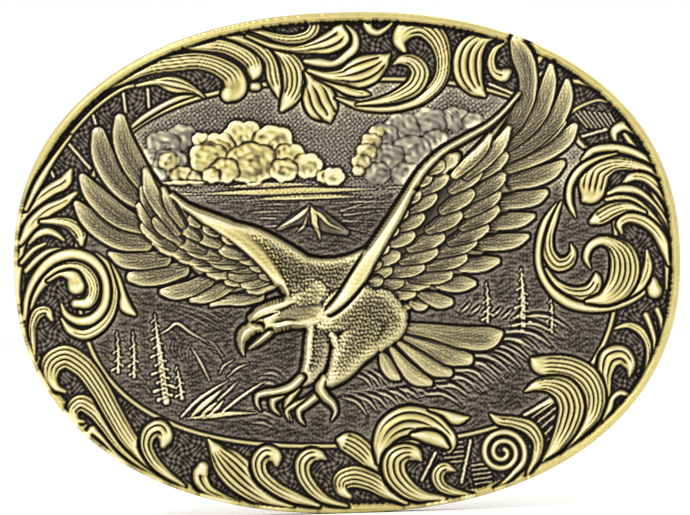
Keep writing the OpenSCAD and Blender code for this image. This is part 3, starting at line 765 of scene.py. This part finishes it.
RIGHT_PRIMARIES = [
    [(6.6, -5.8, .5), (7.6, -6.3, .6), (8.3, -6.4, .4)],
    [(9, -5.8, .6), (10, -6.2, .8), (10.7, -6.3, .4)],
    [(9.8, -4.3, .6), (11.5, -5.2, .9), (12.8, -5.8, .95), (14, -5.9, .6)],
    [(11.5, -2.4, .8), (13.8, -3.2, 1.1), (15.8, -3.4, 1.05), (17.4, -3.4, .5)],
    [(14, 0, .9), (16.8, -.7, 1.1), (19, -.7, 1), (20.8, -.4, .5)],
    [(18, 2.3, 1), (21, 2.2, 1.1), (23.5, 2.4, .9), (25.1, 2.9, .4)],
    [(20, 5, 1), (22.5, 5.1, 1.1), (24.5, 5.3, .9), (26, 5.7, .4)],
    [(22, 7.8, 1), (24.5, 8, 1.1), (26.5, 8.3, .95), (27.8, 8.9, .5)],
    [(23.5, 10.6, 1.1), (26.5, 11.1, 1.2), (28.8, 11.9, 1), (30.3, 12.9, .5)],
    [(23, 12.8, 1), (26.3, 14, 1.2), (29, 15.2, 1.2), (31.1, 16.6, 1), (32.2, 18, .5)],
    [(22.5, 13.9, 1), (26, 15.7, 1.1), (28.6, 17.2, 1), (30.6, 18.6, .5)],
    [(22, 14, 1), (25, 15.5, 1.2), (28, 17.6, 1.2), (30.2, 20, 1.1), (31.2, 22.5, .9), (31.4, 24.3, .4)],
    [(21.5, 15, .9), (24.4, 17, 1.1), (26.8, 19.4, 1.2), (28.2, 22, 1.1), (28.9, 24.4, .9),
     (29.2, 26.5, .4)],
    [(22, 16.5, .9), (24.4, 19.6, 1.1), (25.8, 22.8, 1.1), (25.9, 25.5, 1.2), (25.2, 28, 1.3),
     (24.3, 30, .7)],
]
RIGHT_ROWS = [
    (0.5, 1.15, 5.4, 1.05, ((9.3, -4.5), (11.5, -3), (14.5, -2), (16.6, .4), (18, 2.6), (19.7, 4.5),
                            (21.2, 7), (21.5, 9.1), (22.2, 11.5), (22.6, 14.5))),
    (0.6, 1.28, 4.8, 1.0, ((7.7, -2.9), (10.6, -.8), (12.5, 1.3), (13.5, 3.4), (16, 6.3), (17.8, 9.3),
                           (19, 12.4), (19.9, 15))),
    (0.7, 1.4, 3.8, 0.95, ((6, -1.2), (7.2, .9), (9.3, 3.7), (10.7, 6.2), (12.5, 9), (14.2, 11.7),
                           (15.9, 14.5))),
    (0.8, 1.5, 1.9, 0.8, ((4.6, -2.6), (4.5, -.2), (5.6, 2), (7, 4.5), (8.4, 6.9), (10.2, 9.3),
                          (11.8, 11.7), (13.6, 13.4))),
]
RIGHT_SHOULDER = [
    [(17, 11.5, .6), (20, 14, .9), (22, 16.2, .8), (23, 18, .35)],
    [(15.4, 11.8, .6), (17.6, 13.6, .8), (19.4, 15.4, .7), (20.4, 17.2, .3)],
]
wing(WING_RIGHT, 1, RIGHT_PRIMARIES, RIGHT_ROWS, right_heading, RIGHT_SHOULDER, shoulder_top=1.4)

TAIL_FEATHERS = [
    [(4.5, -13, .5), (5.2, -14.5, .9), (6, -15.8, .7), (6.7, -16.3, .3)],
    [(5.8, -12.1, .4), (7.5, -14.5, .8), (9.3, -16.3, 1), (10.9, -17, .5)],
    [(7, -11.3, .5), (9.5, -13.2, .9), (12, -15, 1.1), (13.6, -15.7, .6)],
    [(7.8, -10.5, .5), (11, -11.9, .9), (14, -13.3, 1.3), (16.3, -13.9, .8)],
    [(8, -9.3, .7), (12, -10, 1), (16, -10.9, 1.4), (19.5, -11, 1.3), (20.9, -10.5, .5)],
]
for points in TAIL_FEATHERS:
    feather(points, base=0.25, top=1.25, owner=TAIL, side=1, warm=0.5)

# One broad thigh shows beside the breast, lit down its left side.
THIGH = [(-4.1, -7.6, 1.8), (-4.3, -10.6, 1.8), (-4.6, -13.2, 1.7), (-5.6, -15.3, 1.3), (-6.4, -16.3, 0.8)]
LIT_SIDE = [(-5.0, -8.4, 0.9), (-5.4, -11, 0.95), (-5.7, -13.4, 0.9), (-6.6, -15.8, 0.6)]
skin(bird, THIGH, 0.3, 1.3, LEGS, grain=0.28, polish_and_painted_light=0.85, warm=0.35)
# The lit side is a raised swelling whose brighter tone is a painted highlight.
skin(bird, LIT_SIDE, 0.6, 1.6, LEGS, grain=0.28, polish_and_painted_light=1.1, warm=0.55, gutter=0.0)
TOES = [
    [(-7.5, -17.2, .6), (-8.8, -19.2, .6), (-8.9, -20.4, .4), (-8.3, -21.8, .08)],
    [(-9.3, -17.9, .55), (-10.9, -19, .6), (-10.8, -19.9, .4), (-9.9, -20.9, .08)],
    [(-6.8, -15.8, .7), (-8.2, -17, .75), (-10.2, -17.6, .65), (-12, -17.8, .6), (-13, -18.2, .5),
     (-13.1, -19.1, .3), (-12.6, -20.2, .08)],
    [(-4.6, -18.1, .7), (-6.4, -19.2, .6), (-8, -19.6, .5), (-9, -20.4, .3), (-8.7, -21.7, .08)],
    [(-4.6, -18.3, .65), (-6.2, -19.5, .6), (-7.3, -20.4, .55), (-7.2, -21.4, .35), (-6.5, -22.4, .08)],
    [(-3.6, -16, .8), (-4.2, -17.3, .9), (-3.5, -18.6, .75), (-2.6, -19.5, .6), (-2.2, -20.5, .4),
     (-2.8, -21.9, .08)],
]
for points in TOES:
    skin(bird, points, 0.2, 1.5, LEGS, polish_and_painted_light=1.2, warm=0.85, power=0.5)

# Back and breast: swellings that run into each other, under small feathers. As top, shine and points.
BACK = [(-16, 5.2, 1.2), (-12.4, 3.4, 1.8), (-9.6, .9, 2.6), (-6.8, -1.6, 3), (-5, -4, 3)]
skin(bird, BACK, 0.6, 1.75, BODY, grain=0.3, polish_and_painted_light=0.85, warm=0.45)
SWELLINGS = [
    (1.6, 0.85, [(-8, 0, 2), (-5, -1.6, 2.6), (-2, -1.8, 2.6), (.6, -.6, 1.8), (2.6, 1.2, .8)]),
    (1.95, 1.06, [(-3.4, -8, 2), (-1, -6.6, 3.4), (2, -6.6, 3.6), (5, -7.2, 2.6), (7, -7.6, 1.4)]),
    (2.0, 1.0, [(1.6, -6, 3.4), (2.4, -9, 3.4), (0, -12.4, 2.6), (-1.4, -14.8, 1.8), (-2.8, -16.4, 1)]),
    (1.9, 0.95, [(4.6, -6, 2.6), (6, -8.6, 2.2), (4, -11, 1.6)]),
    (2.1, 1.15, [(-2.4, -9.8, .9), (-1.6, -11.6, .9), (-1.8, -13, .5)]),
]
for top, polish_and_painted_light, points in SWELLINGS:
    skin(bird, points, 0.5, top, BODY, grain=0.3, polish_and_painted_light=polish_and_painted_light, warm=0.5, gutter=0.0)

# The wings' smooth leading edges.
LEFT_LEADING = [(-24, 10.2, .3), (-22, 8.4, .6), (-19, 6.6, 1.1), (-16, 5, 1.4), (-13.2, 3, 1.6),
                (-11, .6, 1.5), (-9.4, -2, 1.1), (-8.4, -4, .6)]
RIGHT_LEADING = [(24.6, 22.8, .25), (22.5, 20.4, .35), (20.3, 18.6, .4), (17, 16.8, .5), (13.3, 14.7, .55),
                 (10.8, 12.3, .65), (9, 9.6, .75), (7.2, 6.6, .95), (5.2, 3.6, 1.05), (3.2, .6, 1.2),
                 (1.4, -2.2, 1.3), (-.6, -4.8, 1.1), (-2.6, -6.6, .8), (-4.4, -7.5, .35)]
skin(bird, LEFT_LEADING, 0.9, 1.95, WING_LEFT, grain=0.05, polish_and_painted_light=1.15, warm=0.75, gutter=0.0, power=0.4)
skin(bird, RIGHT_LEADING, 1.0, 2.15, WING_RIGHT, grain=0.06, polish_and_painted_light=1.02, warm=0.7, gutter=0.15, power=0.4)

# Neck and head in one mass, the nape, then the face: brow, throat, beak and eye.
NECK = [(-12.9, -7.9, 1.2), (-11.4, -7.4, 1.9), (-9.4, -6.9, 2.2), (-7.2, -6.6, 2.4), (-5, -6.8, 2.3),
        (-3.4, -7.6, 1.4)]
NAPE = [(-8, -6.2, 2), (-5.6, -5, 2.4), (-4.4, -3.6, 2)]
BROW = [(-13.4, -7.3, .7), (-12.2, -6.5, .95), (-10.4, -5.9, 1.05), (-8.6, -5.4, .95), (-7, -5, .5)]
THROAT = [(-12.5, -8.9, .6), (-11, -8.8, .85), (-9.4, -8.4, .95), (-7.8, -8.2, .85), (-6.4, -8.6, .5)]
LOWER_BEAK = [(-11, -9.4, .6), (-11.8, -10, .62), (-12.9, -10.8, .52), (-13.9, -11.5, .2)]
UPPER_BEAK = [(-12.5, -8.7, .8), (-13.8, -8.95, 1.05), (-14.7, -9.7, .98), (-15, -10.7, .7),
              (-14.95, -11.5, .42), (-14.7, -12.4, .1)]
BEAK_LINE = [(-13.9, -8.2, .08), (-13.2, -8.9, .14), (-12.9, -9.8, .1)]
EYE_SOCKET = [(-13.7, -8, .08), (-12.7, -7.6, .2), (-11.4, -7.1, .2), (-9.8, -6.6, .08)]
EYE = [(-12.3, -7.72, .2), (-12.1, -7.66, .2)]
skin(bird, NECK, 0.7, 2.2, BODY, grain=0.08, polish_and_painted_light=1.8, warm=0.6, gutter=0.0)
skin(bird, NAPE, 0.8, 2.1, BODY, grain=0.22, polish_and_painted_light=1.25, warm=0.5, gutter=0.0)
for points, top in ((BROW, 2.4), (THROAT, 2.3)):
    skin(bird, points, 1.2, top, BODY, grain=0.08, polish_and_painted_light=1.5, warm=0.65, gutter=0.0, power=0.5)
skin(bird, LOWER_BEAK, 0.6, 1.9, BODY, polish_and_painted_light=1.3, warm=0.75, gutter=0.2, power=0.5)
skin(bird, UPPER_BEAK, 0.8, 2.4, BODY, polish_and_painted_light=1.35, warm=0.85, gutter=0.25, power=0.5)
line(bird, BEAK_LINE, -0.3, 0.1, 0.4)
line(bird, EYE_SOCKET, -0.45, 0.05, 0.3)
skin(bird, EYE, 1.7, 2.2, BODY, polish_and_painted_light=1.2, warm=0.6, gutter=0.1, power=0.6)

# ---- From carving to heights and tones ----------------------------------------------------------
FULL_STAND = 0.6           # height over the nearby floor that counts as fully exposed
FULL_CREST = 0.1           # and over the mean of what lies round it
TRENCH_CELLS = 2           # width of the trench round the eagle


def nearby(field, pick, passes):
    """The lowest or highest value within as many cells as there are passes."""
    for _ in range(passes):
        padded = np.pad(field, 1, mode="edge")
        rows = pick(pick(padded[:-2], padded[1:-1]), padded[2:])
        field = pick(pick(rows[:, :-2], rows[:, 1:-1]), rows[:, 2:])
    return field


def blur(field, radius):
    """Three box blurs, which together are close to a Gaussian."""
    n = max(1, int(round(radius / STEP)))
    for _ in range(3):
        for axis in (0, 1):
            padded = np.pad(field, [(n + 1, n) if a == axis else (0, 0) for a in (0, 1)], mode="edge")
            total = np.cumsum(padded, axis=axis)
            high = np.take(total, range(2 * n + 1, total.shape[axis]), axis=axis)
            low = np.take(total, range(0, total.shape[axis] - 2 * n - 1), axis=axis)
            field = (high - low) / (2 * n + 1)
    return field


def ease(height):
    """Takes down whatever is steeper than STEEPEST, then softens the steps of the grid."""
    beside = [np.s_[:-2, 1:-1], np.s_[2:, 1:-1], np.s_[1:-1, :-2], np.s_[1:-1, 2:]]
    cornerwise = [np.s_[:-2, :-2], np.s_[2:, 2:]]
    for _ in range(6):
        padded = np.pad(height, 1, mode="edge")
        for shifts, reach in ((beside, 1), (cornerwise, 1.414)):
            for shift in shifts:
                height = np.minimum(height, padded[shift] + STEEPEST * STEP * reach)
    padded = np.pad(height, 1, mode="edge")
    return 0.6 * height + 0.1 * sum(padded[shift] for shift in beside)


def exposure(height, polish_and_painted_light):
    """How bright a spot is: rubbed ridges high, patina in grooves and crowded hollows low, scaled by its
    polish and the painted shadows and highlights passed in.
    """
    low = blur(nearby(height, np.minimum, 4), radius=0.25)
    stand = np.clip((height - low) / FULL_STAND, 0, 1)
    crest = np.clip((height - blur(height, radius=0.2)) / FULL_CREST, -2, 0.8)
    return np.clip(np.clip(0.2 + 0.43 * stand + 0.42 * crest, 0, 1) * polish_and_painted_light, 0, 1)


is_bird = bird.owner > 0
around_bird = nearby(is_bird.astype(float), np.maximum, TRENCH_CELLS)
painted_shadow_round_bird = blur(around_bird, radius=0.12)
face.height = np.where((around_bird > 0) & ~is_bird, np.minimum(face.height, PICTURE - 0.2), face.height)
# Painted shadow: the ground's tone is darkened round the eagle, over and beyond the trench.
face.polish_and_painted_light = face.polish_and_painted_light * (1 - 0.6 * painted_shadow_round_bird)
bird.height = ease(bird.height)
face.height = ease(face.height)
relief = np.where(is_bird, bird.height, face.height)
# The brass tone: wear and patina from the carving, with the painted shadows and highlights laid in with the
# strokes.
wear_and_painted_light = exposure(relief, np.where(is_bird, bird.polish_and_painted_light, face.polish_and_painted_light))
warm = blur(np.where(is_bird, bird.warm, face.warm), radius=0.12)

# ---- Meshes -------------------------------------------------------------------------------------
EMBED = 0.2                # depth that each piece is let into the plate
RIM_INSET = 0.95           # where the grid pieces begin, inside the outline


def plate_y(x, lift):
    """Y of a point that stands lift above the plate's bent front."""
    return BEND_R - np.sqrt((BEND_R + PLATE_T + lift) ** 2 - x ** 2)


def make_mesh(name, points, corners, sizes, flat_from, tones):
    """A mesh from flat arrays. Faces from flat_from on are shaded flat, and tones are (rub, warm)."""
    mesh = bpy.data.meshes.new(name)
    mesh.vertices.add(len(points))
    mesh.vertices.foreach_set("co", (points * MM).astype(np.float32).ravel())
    mesh.loops.add(len(corners))
    mesh.loops.foreach_set("vertex_index", corners.astype(np.int32))
    mesh.polygons.add(len(sizes))
    starts = np.concatenate([[0], np.cumsum(sizes)[:-1]])
    mesh.polygons.foreach_set("loop_start", starts.astype(np.int32))
    mesh.update(calc_edges=True)
    mesh.polygons.foreach_set("use_smooth", np.arange(len(sizes)) < flat_from)
    for label, values in zip(("wear_and_painted_light", "warm"), tones):
        attribute = mesh.attributes.new(label, "FLOAT", "POINT")
        attribute.data.foreach_set("value", values.astype(np.float32))
    mesh.validate()
    piece = bpy.data.objects.new(name, mesh)
    bpy.context.scene.collection.objects.link(piece)
    return piece


def carved_piece(name, cells):
    """A closed solid over the marked cells: carved top, straight walls, and a foot let into the plate."""
    rows, cols = cells.shape
    node = np.arange((rows + 1) * (cols + 1)).reshape(rows + 1, cols + 1)
    k, i = np.nonzero(cells)
    quads = np.stack([node[k, i], node[k, i + 1], node[k + 1, i + 1], node[k + 1, i]], 1)
    framed = np.pad(cells, 1)
    walls = []
    for near, a, b in ((framed[:-2, 1:-1], (0, 0), (0, 1)), (framed[1:-1, 2:], (0, 1), (1, 1)),
                       (framed[2:, 1:-1], (1, 1), (1, 0)), (framed[1:-1, :-2], (1, 0), (0, 0))):
        k, i = np.nonzero(cells & ~near)
        walls.append(np.stack([node[k + a[0], i + a[1]], node[k + b[0], i + b[1]]], 1))
    walls = np.vstack(walls)
    top_nodes = np.unique(quads)
    foot_nodes = np.unique(walls)
    top_of = np.full(node.size, -1)
    top_of[top_nodes] = np.arange(len(top_nodes))
    foot_of = np.full(node.size, -1)
    foot_of[foot_nodes] = len(top_nodes) + np.arange(len(foot_nodes))
    start, end = walls.T
    sides = np.stack([top_of[end], top_of[start], foot_of[start], foot_of[end]], 1)
    floors = []
    for column in np.nonzero(cells.any(0))[0]:
        edges = np.diff(np.concatenate([[0], cells[:, column].astype(int), [0]]))
        for first, last in zip(np.nonzero(edges == 1)[0], np.nonzero(edges == -1)[0]):
            left = foot_of[node[first:last + 1, column]]
            right = foot_of[node[first:last + 1, column + 1]][::-1]
            floors.append(np.concatenate([left[left >= 0], right[right >= 0]]))
    order = np.concatenate([top_nodes, foot_nodes])
    x, z = X.ravel()[order], Z.ravel()[order]
    lift = np.concatenate([relief.ravel()[top_nodes], np.full(len(foot_nodes), -EMBED)])
    corners = np.concatenate([top_of[quads].ravel(), sides.ravel()] + floors)
    sizes = np.concatenate([np.full(len(quads) + len(sides), 4), [len(f) for f in floors]]).astype(int)
    tones = (wear_and_painted_light.ravel()[order], warm.ravel()[order])
    return make_mesh(name, np.stack([x, plate_y(x, lift), z], 1), corners, sizes, len(quads), tones)


def sample(field, x, z):
    """A grid's value between its nodes."""
    i = np.clip((x - xs[0]) / STEP, 0, len(xs) - 1.001)
    k = np.clip((z - zs[0]) / STEP, 0, len(zs) - 1.001)
    i0, k0 = i.astype(int), k.astype(int)
    u, v = i - i0, k - k0
    lower = field[k0, i0] * (1 - u) + field[k0, i0 + 1] * u
    upper = field[k0 + 1, i0] * (1 - u) + field[k0 + 1, i0 + 1] * u
    return lower * (1 - v) + upper * v


def outline(count):
    """Points round the buckle's outline and the normals that point out of it."""
    turn = np.linspace(0, 2 * math.pi, count, endpoint=False)
    c, s = np.cos(turn), np.sin(turn)
    x = HALF_W * np.sign(c) * np.abs(c) ** (2 / OVAL_POWER)
    z = HALF_H * np.sign(s) * np.abs(s) ** (2 / OVAL_POWER)
    nx = np.sign(x) * np.abs(x / HALF_W) ** (OVAL_POWER - 1) / HALF_W
    nz = np.sign(z) * np.abs(z / HALF_H) ** (OVAL_POWER - 1) / HALF_H
    size = np.hypot(nx, nz)
    return np.stack([x, z]), np.stack([nx / size, nz / size])


EDGE_POINTS = 1800
LIP = 0.42                 # height at which the edge's upright side starts to turn in
FOOT_INSET = 0.25          # outer side of the band's foot, inside the plate
BAND_IN = 1.08             # inner end of the band, a little under the grid pieces
BAND_INSETS = (0.05, 0.12, 0.2, 0.3, 0.4, 0.5, 0.6, 0.7, 0.8, 0.9, 1.0, BAND_IN)
BAND_WARM = 0.8


def edge_band():
    """The rounded edge all round, which carries on the leaves that run over it.

    It is a tube of quads through rings of points, laid from the inner foot to the outer foot.
    """
    edge, outward = outline(EDGE_POINTS)
    rings = [(FOOT_INSET, -EMBED, 0.1), (BAND_IN, -EMBED, 0.1)]
    for inset in BAND_INSETS[::-1]:
        height = sample(relief, *(edge - max(inset, 0.35) * outward))
        height = np.minimum(height, LIP + 2.6 * inset)
        if inset > RIM_INSET - 0.1:
            height = height - 0.02
        if inset == BAND_IN:
            height = height - 0.3
        rings.append((inset, height, sample(wear_and_painted_light, *(edge - max(inset, 0.45) * outward))))
    rings += [(0.0, LIP, 0.45 + 0.3 * LIP), (0.0, 0.0, 0.45)]
    points, tones = [], []
    for inset, height, tone in rings:
        x, z = edge - inset * outward
        points.append(np.stack([x, plate_y(x, height), z], 1))
        tones.append(np.broadcast_to(tone, EDGE_POINTS))
    around = np.arange(EDGE_POINTS)
    after = (around + 1) % EDGE_POINTS
    quads = []
    for n in range(len(rings)):
        a, b = n * EDGE_POINTS, (n + 1) % len(rings) * EDGE_POINTS
        quads.append(np.stack([a + around, b + around, b + after, a + after], 1))
    quads = np.vstack(quads)
    tones = np.concatenate(tones)
    return make_mesh("edge_band", np.vstack(points), quads.ravel(), np.full(len(quads), 4), len(quads),
                     (tones, np.full(tones.shape, BAND_WARM)))


def majority(labels, count, radius):
    """Smooths the borders between labelled areas and clears specks."""
    votes = [blur((labels == n).astype(float), radius) for n in range(count)]
    return np.argmax(votes, axis=0)


# Where one piece of the relief ends and the next begins.
HORIZON = 9.3
AREAS = ["sky_relief", "landscape_relief", "eagle_left_wing", "eagle_right_wing", "eagle_body",
         "eagle_tail", "eagle_legs", "scrollwork_top", "scrollwork_right", "scrollwork_bottom",
         "scrollwork_left"]
EAGLE_AREAS = AREAS[WING_LEFT:LEGS + 1]
SCROLL_AREAS = AREAS[LEGS + 1:]
SKY, LAND = 0, 1
TOP, RIGHT, BOTTOM, LEFT = range(LEGS + 1, len(AREAS))
TOP_FROM, LEFT_FROM, BOTTOM_FROM, RIGHT_FROM = 45, 145, 232, 305    # degrees round from +X
area = np.where(Z > HORIZON, SKY, LAND)
around = np.degrees(np.arctan2(Z / HALF_H, X / HALF_W)) % 360
quarter = np.select([(around >= TOP_FROM) & (around < LEFT_FROM),
                     (around >= LEFT_FROM) & (around < BOTTOM_FROM),
                     (around >= BOTTOM_FROM) & (around < RIGHT_FROM)], [TOP, LEFT, BOTTOM], RIGHT)
area = np.where((in_picture < 0.4) | (face.owner > 0), quarter, area)
area = np.where(is_bird, bird.owner, area)
area = majority(area, len(AREAS), radius=0.14)
cell_area = area[:-1, :-1]
cell_inset = (from_outline[:-1, :-1] + from_outline[1:, 1:]) / 2
made = {}
for n, name in enumerate(AREAS):
    made[name] = carved_piece(name, (cell_area == n) & (cell_inset > RIM_INSET))
made["edge_band"] = edge_band()

# ---- Materials ----------------------------------------------------------------------------------
# Colours down the ramps, in sRGB from 0 to 255: patina in the hollows and painted shadow round the strokes
# at the low end, rubbed brass and painted highlights at the high end.
BRASS = ((0.0, (12, 10, 6)), (0.15, (40, 35, 19)), (0.35, (108, 97, 50)), (0.6, (188, 173, 98)),
         (0.8, (219, 204, 128)), (1.0, (230, 221, 176)))
TAUPE = ((0.0, (16, 13, 12)), (0.15, (58, 52, 47)), (0.35, (112, 105, 97)), (0.6, (152, 145, 132)),
         (0.8, (194, 186, 160)), (1.0, (238, 232, 208)))


def linear(colour):
    """An sRGB colour as linear values from 0 to 1."""
    out = []
    for part in colour:
        v = part / 255
        out.append(v / 12.92 if v <= 0.04045 else ((v + 0.055) / 1.055) ** 2.4)
    return (*out, 1.0)


class Nodes:
    """A material's node tree, with a short way to add a node and link it."""
    def __init__(self, name):
        self.material = bpy.data.materials.new(name)
        self.material.use_nodes = True
        self.tree = self.material.node_tree
        self.shader = self.tree.nodes["Principled BSDF"]

    def add(self, kind, inputs=None, **settings):
        node = self.tree.nodes.new("ShaderNode" + kind)
        for key, value in settings.items():
            setattr(node, key, value)
        for key, value in (inputs or {}).items():
            self.feed(node, key, value)
        return node

    def feed(self, node, key, value):
        if isinstance(value, bpy.types.NodeSocket):
            self.tree.links.new(value, node.inputs[key])
        else:
            node.inputs[key].default_value = value

    def math(self, operation, a, b, clamp=False):
        return self.add("Math", {0: a, 1: b}, operation=operation, use_clamp=clamp).outputs[0]

    def ramp(self, factor, stops):
        node = self.add("ValToRGB", {"Fac": factor})
        elements = node.color_ramp.elements
        while len(elements) < len(stops):
            elements.new(0.5)
        for element, (position, colour) in zip(elements, stops):
            element.position = position
            element.color = linear(colour)
        return node.outputs["Color"]

    def blend(self, factor, a, b):
        node = self.add("Mix", data_type="RGBA")
        self.feed(node, 0, factor)
        self.feed(node, 6, a)
        self.feed(node, 7, b)
        return node.outputs[2]

    def spread(self, value, low, high, at_low, at_high):
        ends = {"Value": value, "From Min": low, "From Max": high, "To Min": at_low, "To Max": at_high}
        return self.add("MapRange", ends).outputs[0]

    def bump(self, height, strength, distance):
        node = self.add("Bump", {"Height": height, "Strength": strength, "Distance": distance})
        self.feed(self.shader, "Normal", node.outputs["Normal"])

    def noise(self, where, scale, detail=3.0):
        node = self.add("TexNoise", {"Vector": where, "Scale": scale, "Detail": detail})
        return node.outputs["Fac"]


def carved_brass():
    """Antiqued brass whose tone follows the carving's wear and patina, with the painted shadows and
    highlights stored alongside.
    """
    n = Nodes("carved_brass")
    where = n.add("TexCoord").outputs["Object"]
    wear_and_painted_light_fac = n.add("Attribute", attribute_name="wear_and_painted_light").outputs["Fac"]
    yellow = n.add("Attribute", attribute_name="warm").outputs["Fac"]
    cloudy = n.math("SUBTRACT", n.noise(where, 260), 0.5)
    speckle = n.math("SUBTRACT", n.noise(where, 1900), 0.5)
    mottled_wear_and_painted_light = n.math("ADD", wear_and_painted_light_fac, n.math("MULTIPLY", cloudy, 0.16))
    mottled_wear_and_painted_light = n.math("ADD", mottled_wear_and_painted_light, n.math("MULTIPLY", speckle, 0.16), clamp=True)
    colour = n.blend(yellow, n.ramp(mottled_wear_and_painted_light, TAUPE), n.ramp(mottled_wear_and_painted_light, BRASS))
    n.feed(n.shader, "Base Color", colour)
    n.feed(n.shader, "Specular IOR Level", 0.12)
    n.feed(n.shader, "Metallic", n.spread(mottled_wear_and_painted_light, 0.0, 1.0, 0.35, 0.85))
    n.feed(n.shader, "Roughness", n.spread(mottled_wear_and_painted_light, 0.0, 1.0, 0.62, 0.36))
    n.bump(n.noise(where, 3800, 2.0), 0.12, 0.00005)
    return n.material


def plate_brass():
    """The cast back and side of the plate: dark patina, rubbed through in soft patches, finely pitted."""
    n = Nodes("plate_brass")
    where = n.add("TexCoord").outputs["Object"]
    patches = n.noise(where, 45, 6.0)
    pits = n.noise(where, 1500, 4.0)
    tone = n.math("ADD", n.math("MULTIPLY", patches, 0.75), n.math("MULTIPLY", pits, 0.35))
    stops = ((0.3, (92, 81, 49)), (0.5, (116, 103, 62)), (0.66, (136, 121, 74)), (0.84, (164, 148, 94)))
    n.feed(n.shader, "Base Color", n.ramp(tone, stops))
    n.feed(n.shader, "Metallic", 0.8)
    n.feed(n.shader, "Roughness", n.spread(tone, 0.3, 0.8, 0.62, 0.38))
    n.bump(pits, 0.35, 0.0001)
    return n.material


def worked_brass(name, dark, bright, grain, stretch):
    """Satin brass with fine lines from drawing or rolling, which run along the axis of least stretch."""
    n = Nodes(name)
    where = n.add("TexCoord").outputs["Object"]
    lines = n.add("Mapping", {"Vector": where, "Scale": stretch}).outputs["Vector"]
    streaks = n.noise(lines, grain, 4.0)
    handled = n.noise(where, 160, 4.0)
    tone = n.math("ADD", n.math("MULTIPLY", streaks, 0.5), n.math("MULTIPLY", handled, 0.5))
    n.feed(n.shader, "Base Color", n.ramp(tone, ((0.3, dark), (0.7, bright))))
    n.feed(n.shader, "Metallic", 0.95)
    n.feed(n.shader, "Roughness", n.spread(tone, 0.3, 0.7, 0.45, 0.26))
    n.bump(streaks, 0.15, 0.0001)
    return n.material


carved = carved_brass()
for name, piece in made.items():
    piece.data.materials.append(carved)
    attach(piece, "buckle")
for name in EAGLE_AREAS:
    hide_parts("eagle")
for name in SCROLL_AREAS:
    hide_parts("scroll_border")
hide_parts("edge_wire")

strip = worked_brass("strip_brass", (134, 116, 66), (206, 186, 116), 900, (1, 1, 0.1))
wire = worked_brass("wire_brass", (150, 130, 72), (222, 202, 126), 1100, (1, 1, 0.12))
finishes = {"face_plate": plate_brass(), "hinge_clip": strip, "hinge_rivets": strip, "hook_washer": strip,
            "belt_loop": wire, "hook_peg": wire}
for name, finish in finishes.items():
    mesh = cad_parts[name].data
    mesh.materials.clear()
    mesh.materials.append(finish)

# ---- Camera, floor and light --------------------------------------------------------------------
CAMERA_DISTANCE = 0.6
FRAME_WIDTH = 0.0962
ROLL = 0.0298
RIGHT_OF_MIDDLE = 0.00028
BELOW_MIDDLE = 0.00071
scene = bpy.context.scene
camera_data = bpy.data.cameras.new("camera")
camera_data.sensor_width = 36
camera_data.lens = camera_data.sensor_width * CAMERA_DISTANCE / FRAME_WIDTH
camera = bpy.data.objects.new("camera", camera_data)
scene.collection.objects.link(camera)
right = np.array([math.cos(ROLL), 0, -math.sin(ROLL)])
up = np.array([math.sin(ROLL), 0, math.cos(ROLL)])
camera.location = -RIGHT_OF_MIDDLE * right + BELOW_MIDDLE * up + np.array([0, -CAMERA_DISTANCE, 0])
camera.rotation_mode = "XYZ"
camera.rotation_euler = (math.radians(90), ROLL, 0)
scene.camera = camera

FLOOR_GAP = 0.00002
FLOOR_SIZE = 3.0
floor_z = cad_box[0][2] - FLOOR_GAP
bpy.ops.mesh.primitive_plane_add(size=FLOOR_SIZE, location=(0, 0, floor_z))
floor = bpy.context.object
floor.name = "floor"
paper = Nodes("floor_paper")
paper_tone = paper.noise(paper.add("TexCoord").outputs["Object"], 30)
paper_stops = ((0.3, (248, 248, 247)), (0.7, (252, 252, 251)))
paper.feed(paper.shader, "Base Color", paper.ramp(paper_tone, paper_stops))
paper.feed(paper.shader, "Roughness", 0.8)
floor.data.materials.append(paper.material)


def softbox(name, place, size, power):
    """A round lamp that points at the buckle's middle."""
    data = bpy.data.lights.new(name, "AREA")
    data.shape = "DISK"
    data.size = size
    data.energy = power
    lamp = bpy.data.objects.new(name, data)
    scene.collection.objects.link(lamp)
    lamp.location = place
    x, y, z = place
    yaw = math.atan2(-y, -x) - math.pi / 2
    pitch = math.atan2(-z, math.hypot(x, y)) + math.pi / 2
    lamp.rotation_euler = (pitch, 0, yaw)


softbox("key", (-0.45, -0.4, 0.6), size=0.25, power=4)
softbox("fill", (0.6, -0.5, 0.2), size=0.5, power=0.8)
softbox("back", (0.3, 0.7, 0.5), size=0.5, power=3)
world = bpy.data.worlds.new("studio")
scene.world = world
world.use_nodes = True
world.node_tree.nodes["Background"].inputs["Color"].default_value = (1, 1, 1, 1)
world.node_tree.nodes["Background"].inputs["Strength"].default_value = 1.0
scene.view_settings.view_transform = "Standard"
